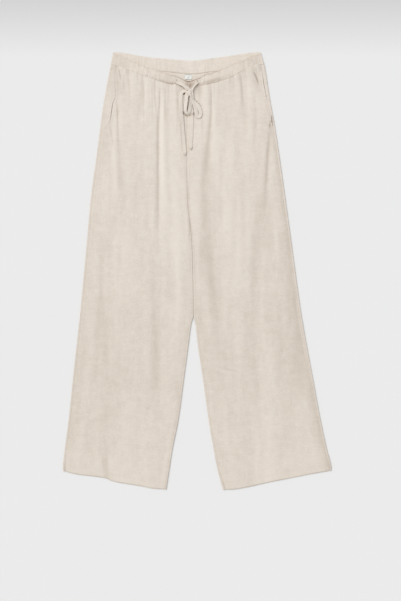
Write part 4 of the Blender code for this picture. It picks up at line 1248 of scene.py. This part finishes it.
class TROUSERS_OT_drawstring(bpy.types.Operator):
    """Make both strands of the drawstring, the bow's knot and the knots in their ends"""

    bl_idname = "trousers.drawstring"
    bl_label = "Drawstring"

    def execute(self, context):
        bow = settle(make_bow_knot(), "tie_cloth", "bow_knot")
        for leg, (hole_x, hole_level), along in zip(LEGS, BUTTONHOLES, ([bow], [])):
            side = leg.name
            tip_x, tip_level = TIPS[side]
            start = (hole_x + leg.outward, hole_level - 1.0, HOLE_RISE, 0)
            end = (tip_x, tip_level - TIP_OVERLAP, 1.3, 0)
            piece, centres = make_tie(f"drawstring_{side}", (start, *ROUTES[side], end))
            knot = settle(make_tip_knot(f"tie_tip_{side}", *TIPS[side]), "tie_cloth", f"tip_knot_{side}")
            settle(piece, "tie_cloth", *(f"drawstring_{side}_{part}" for part in ("lead", "loop", "tail")))
        return {"FINISHED"}


# ---------------------------------------------------------------------------------------- stitches

UNEVEN = (0.84, 1.12)  # shares of their length that stitches take
HEM_ENDS, HEM_ENDS_IN = (1020.0, 1040.0), 1.5  # levels of a hem's ends; its stitches stop short of them
MOUTH_IN = 5.5  # from a pocket's mouth to its topstitching
HOLE_ASIDE = 1.5  # from a buttonhole to the stitches on each side of it
ON_CLOTH, ON_BAND, UNDER_BACK, ON_LABEL = 0.08, 0.1, 0.2, 2.15  # heights of stitches


def stitch_tree():
    """Geometry Nodes that set a stitch at every step along a curve."""
    tree = bpy.data.node_groups.new("Running stitch", "GeometryNodeTree")
    floats = dict.fromkeys(("Pitch", "Stitch length", "Stitch width", "Stitch height"), "Float")
    for name, kind in {"Path": "Geometry", **floats, "Seed": "Int", "Thread": "Material"}.items():
        tree.interface.new_socket(name, in_out="INPUT", socket_type=f"NodeSocket{kind}")
    tree.interface.new_socket("Stitches", in_out="OUTPUT", socket_type="NodeSocketGeometry")

    def add(kind, inputs=None, output=0, **settings):
        return add_node(tree, kind, inputs, output, **settings)

    given = tree.nodes.new("NodeGroupInput").outputs
    steps = {"Curve": given["Path"], "Length": given["Pitch"]}
    steps = add("GeometryNodeResampleCurve", steps, mode="LENGTH")
    bead = add("GeometryNodeMeshUVSphere", {"Segments": 6, "Rings": 4, "Radius": 0.5})
    tangent = add("GeometryNodeInputTangent")
    heading = add("FunctionNodeAlignRotationToVector", {"Vector": tangent}, axis="X")
    limits = {2: UNEVEN[0], 3: UNEVEN[1], "Seed": given["Seed"]}
    share = add("FunctionNodeRandomValue", limits, 1, data_type="FLOAT")
    length = add("ShaderNodeMath", {0: given["Stitch length"], 1: share}, operation="MULTIPLY")
    size = {"X": length, "Y": given["Stitch width"], "Z": given["Stitch height"]}
    scale = add("ShaderNodeCombineXYZ", size)
    beads = {"Points": steps, "Instance": bead, "Rotation": heading, "Scale": scale}
    made = add("GeometryNodeInstanceOnPoints", beads)
    made = add("GeometryNodeRealizeInstances", {"Geometry": made})
    made = add("GeometryNodeSetShadeSmooth", {"Geometry": made})
    made = add("GeometryNodeSetMaterial", {"Geometry": made, "Material": given["Thread"]})
    add("NodeGroupOutput", {"Stitches": made})
    return tree


def sew(tree, name, paths, pitch, length, width=0.42, height=0.34, seed=1):
    """Runs of stitches along paths of points in metres, as one plain mesh."""
    curve = bpy.data.curves.new(f"{name} path", "CURVE")
    curve.dimensions = "3D"
    for path in paths:
        spline = curve.splines.new("POLY")
        spline.points.add(len(path) - 1)
        for point, co in zip(spline.points, path):
            point.co = (*co, 1.0)
    guide = new_object(f"{name} path", curve)
    modifier = guide.modifiers.new("stitches", "NODES")
    modifier.node_group = tree
    values = {
        "Pitch": pitch * MM,
        "Stitch length": length * MM,
        "Stitch width": width * MM,
        "Stitch height": height * MM,
        "Seed": seed,
        "Thread": finish("thread"),
    }
    for socket in tree.interface.items_tree:
        if socket.name in values:
            modifier[socket.identifier] = values[socket.name]
    graph = bpy.context.evaluated_depsgraph_get()
    mesh = bpy.data.meshes.new_from_object(guide.evaluated_get(graph), depsgraph=graph)
    if not mesh.polygons:
        raise RuntimeError(f"no stitches were made for {name}")
    bpy.data.objects.remove(guide)
    mesh.name = name
    return new_object(name, mesh)


def hem_row(leg, on_back):
    """A hem's line of stitches on the front, or on the face that lies on the surface."""
    outer, inner = HEM_ENDS
    low, high = sorted((leg.front_outer(outer), leg.front_inner(inner)))
    x = np.linspace(low + HEM_ENDS_IN, high - HEM_ENDS_IN, 160)
    level = leg.to_hem(x, sizes().hem_depth)
    if on_back:
        return place(x, level + BACK_HEM_DROP, UNDER_BACK)
    return place(x, level, front_skin(leg, x, level) + ON_CLOTH)


def mouth_row(leg):
    """Topstitching beside a pocket's mouth."""
    level = np.linspace(*POCKET_SPAN[leg.name], 90)
    x = leg.front_outer(level) - leg.outward * MOUTH_IN
    return place(x, level, front_skin(leg, x, level) + ON_CLOTH)


def hole_row(hole_x, hole_level):
    """The stitches down one side of a buttonhole."""
    level = np.linspace(-0.5, 0.5, 30) * (BUTTONHOLE_LENGTH + 1.0) + hole_level
    x = np.full_like(level, hole_x)
    return place(x, level, band_front_skin(x) + ON_BAND)


class TROUSERS_OT_stitches(bpy.types.Operator):
    """Sew the hems, the pockets' mouths, the buttonholes and the label"""

    bl_idname = "trousers.stitches"
    bl_label = "Stitches"

    def execute(self, context):
        tree = stitch_tree()
        fronts, backs = ([hem_row(leg, on_back) for leg in LEGS] for on_back in (False, True))
        settle(sew(tree, "hem_stitches_front", fronts, 3.2, 2.5, seed=3), "linen")
        settle(sew(tree, "hem_stitches_back", backs, 3.2, 2.5, height=0.3, seed=5), "linen")
        mouths = [mouth_row(leg) for leg in LEGS]
        settle(sew(tree, "pocket_stitches", mouths, 2.8, 2.2, seed=7), "linen")
        sides = (-HOLE_ASIDE, HOLE_ASIDE)
        holes = [hole_row(x + aside, level) for x, level in BUTTONHOLES for aside in sides]
        settle(sew(tree, "buttonhole_stitches", holes, 0.5, 0.5, 1.3, 0.5, seed=9), "linen_band")
        x = np.linspace(-0.46, 0.46, 20) * LABEL_SIZE[0] + LABEL_PLACE[0]
        row = place(x, LABEL_PLACE[1] - LABEL_SIZE[1] / 2 + 1.0, ON_LABEL)
        settle(sew(tree, "label_stitches", [row], 1.9, 1.5, 0.3, 0.25, seed=11), "label")
        return {"FINISHED"}


# ---------------------------------------------------------------------------------------- stage

VIEW_HEIGHT, VIEW_CENTRE = 1.4424, (0.0072, -0.071)  # of what the camera sees, in metres
LENS, SENSOR = 85.0, 36.0
SUN_DIRECTION, SUN_COLOUR = (-0.62, 0.52, 1.4), (1.0, 0.985, 0.965)
FILL_COLOUR = (0.97, 0.985, 1.0, 1.0)
FLOOR_DROP = 0.0002


class TROUSERS_OT_stage(bpy.types.Operator):
    """Set the pale floor, the soft light and the camera over the trousers"""

    bl_idname = "trousers.stage"
    bl_label = "Stage"

    def execute(self, context):
        scene = context.scene
        stage = scene.trousers_stage
        camera = new_object("Camera", bpy.data.cameras.new("Camera"))
        camera.data.lens = LENS
        camera.data.sensor_width = SENSOR
        camera.data.clip_end = 50.0
        camera.location = (*VIEW_CENTRE, VIEW_HEIGHT * LENS / SENSOR)
        scene.camera = camera

        sun = new_object("Softbox", bpy.data.lights.new("Softbox", "SUN"))
        sun.data.energy = stage.sun_strength
        sun.data.angle = stage.sun_softness
        sun.data.color = SUN_COLOUR
        sun.location = Vector(SUN_DIRECTION) * 3
        sun.rotation_euler = Vector(SUN_DIRECTION).to_track_quat("Z", "Y").to_euler()

        world = bpy.data.worlds.new("Studio")
        world.use_nodes = True
        fill = {"Color": FILL_COLOUR, "Strength": stage.fill_strength}
        set_inputs(world.node_tree, world.node_tree.nodes["Background"], fill)
        scene.world = world
        scene.view_settings.view_transform = "Standard"

        half = stage.floor_size / 2
        corners = [(x * half, y * half, -FLOOR_DROP) for x, y in ((-1, -1), (1, -1), (1, 1), (-1, 1))]
        new_piece("studio_floor", corners, [(0, 1, 2, 3)], "floor")
        return {"FINISHED"}


# ---------------------------------------------------------------------------------------- settings


class TrousersCloth(bpy.types.PropertyGroup):
    fold_depth: FloatProperty(
        name="Fold Depth",
        description="How deep the folds and creases of the legs are, against the construction's own",
        default=1.0, min=0.0, max=3.0, subtype="FACTOR",
    )
    hem_depth: FloatProperty(
        name="Hem Depth",
        description="Depth of the turned-up hems, in millimetres",
        default=15.0, min=5.0, max=40.0,
    )
    ruche_depth: FloatProperty(
        name="Ruche Depth",
        description="Height of the ridges of cloth drawn up on the waist's elastic, in millimetres",
        default=1.1, min=0.0, max=3.0,
    )


def colour_property(name, description, default):
    limits = {"size": 3, "min": 0.0, "max": 1.0}
    return FloatVectorProperty(name=name, description=description, subtype="COLOR", default=default, **limits)


class TrousersFinish(bpy.types.PropertyGroup):
    linen: colour_property("Linen", "Natural linen of the legs", (0.746, 0.675, 0.603))
    band: colour_property("Waistband", "Linen of the waistband", (0.757, 0.682, 0.607))
    # darker than the legs' linen, as painted shade inside the pockets' mouths
    pocket: colour_property("Pocket", "Cloth seen in the pockets' mouths", (0.62, 0.54, 0.46))
    tie: colour_property("Tie", "Linen of the drawstring", (0.765, 0.695, 0.625))
    thread: colour_property("Thread", "Sewing thread", (0.72, 0.65, 0.58))
    # greyer than a white ribbon, as painted shade over the tab
    label: colour_property("Label", "Woven label", (0.77, 0.78, 0.74))
    floor: colour_property("Floor", "Studio floor", (0.832, 0.832, 0.832))


class TrousersStage(bpy.types.PropertyGroup):
    sun_strength: FloatProperty(
        name="Softbox Strength",
        description="Strength of the soft light from the upper left, in watts per square metre",
        default=1.62, min=0.0,
    )
    sun_softness: FloatProperty(
        name="Softbox Width",
        description="Angle that the soft light fills, seen from the trousers",
        default=math.radians(50), min=0.0, max=math.pi, subtype="ANGLE",
    )
    fill_strength: FloatProperty(
        name="Fill Strength",
        description="Strength of the even light from all round",
        default=0.572, min=0.0,
    )
    floor_size: FloatProperty(
        name="Floor Size",
        description="Side of the square studio floor",
        default=9.0, min=2.0, unit="LENGTH",
    )


class TROUSERS_PT_panel(bpy.types.Panel):
    """Sizes, colours and steps of the trousers"""

    bl_idname = "TROUSERS_PT_panel"
    bl_label = "Linen Trousers"
    bl_space_type = "VIEW_3D"
    bl_region_type = "UI"
    bl_category = "Trousers"

    def draw(self, context):
        for name, _ in SETTINGS:
            group = getattr(context.scene, name)
            box = self.layout.box()
            for setting in group.__annotations__:
                box.prop(group, setting)
        for step in STEPS:
            self.layout.operator(step.bl_idname)


STEPS = (
    TROUSERS_OT_stage,
    TROUSERS_OT_drawstring,
    TROUSERS_OT_fronts,
    TROUSERS_OT_backs,
    TROUSERS_OT_waistband,
    TROUSERS_OT_pockets,
    TROUSERS_OT_label,
    TROUSERS_OT_stitches,
)
SETTINGS = (
    ("trousers_cloth", TrousersCloth),
    ("trousers_finish", TrousersFinish),
    ("trousers_stage", TrousersStage),
)


def register():
    for name, group in SETTINGS:
        bpy.utils.register_class(group)
        setattr(bpy.types.Scene, name, PointerProperty(type=group))
    for cls in (*STEPS, TROUSERS_PT_panel):
        bpy.utils.register_class(cls)


def unregister():
    for cls in reversed((*STEPS, TROUSERS_PT_panel)):
        bpy.utils.unregister_class(cls)
    for name, group in reversed(SETTINGS):
        delattr(bpy.types.Scene, name)
        bpy.utils.unregister_class(group)


def main():
    register()
    for step in STEPS:
        group, name = step.bl_idname.split(".")
        getattr(getattr(bpy.ops, group), name)()


if __name__ == "__main__":
    main()
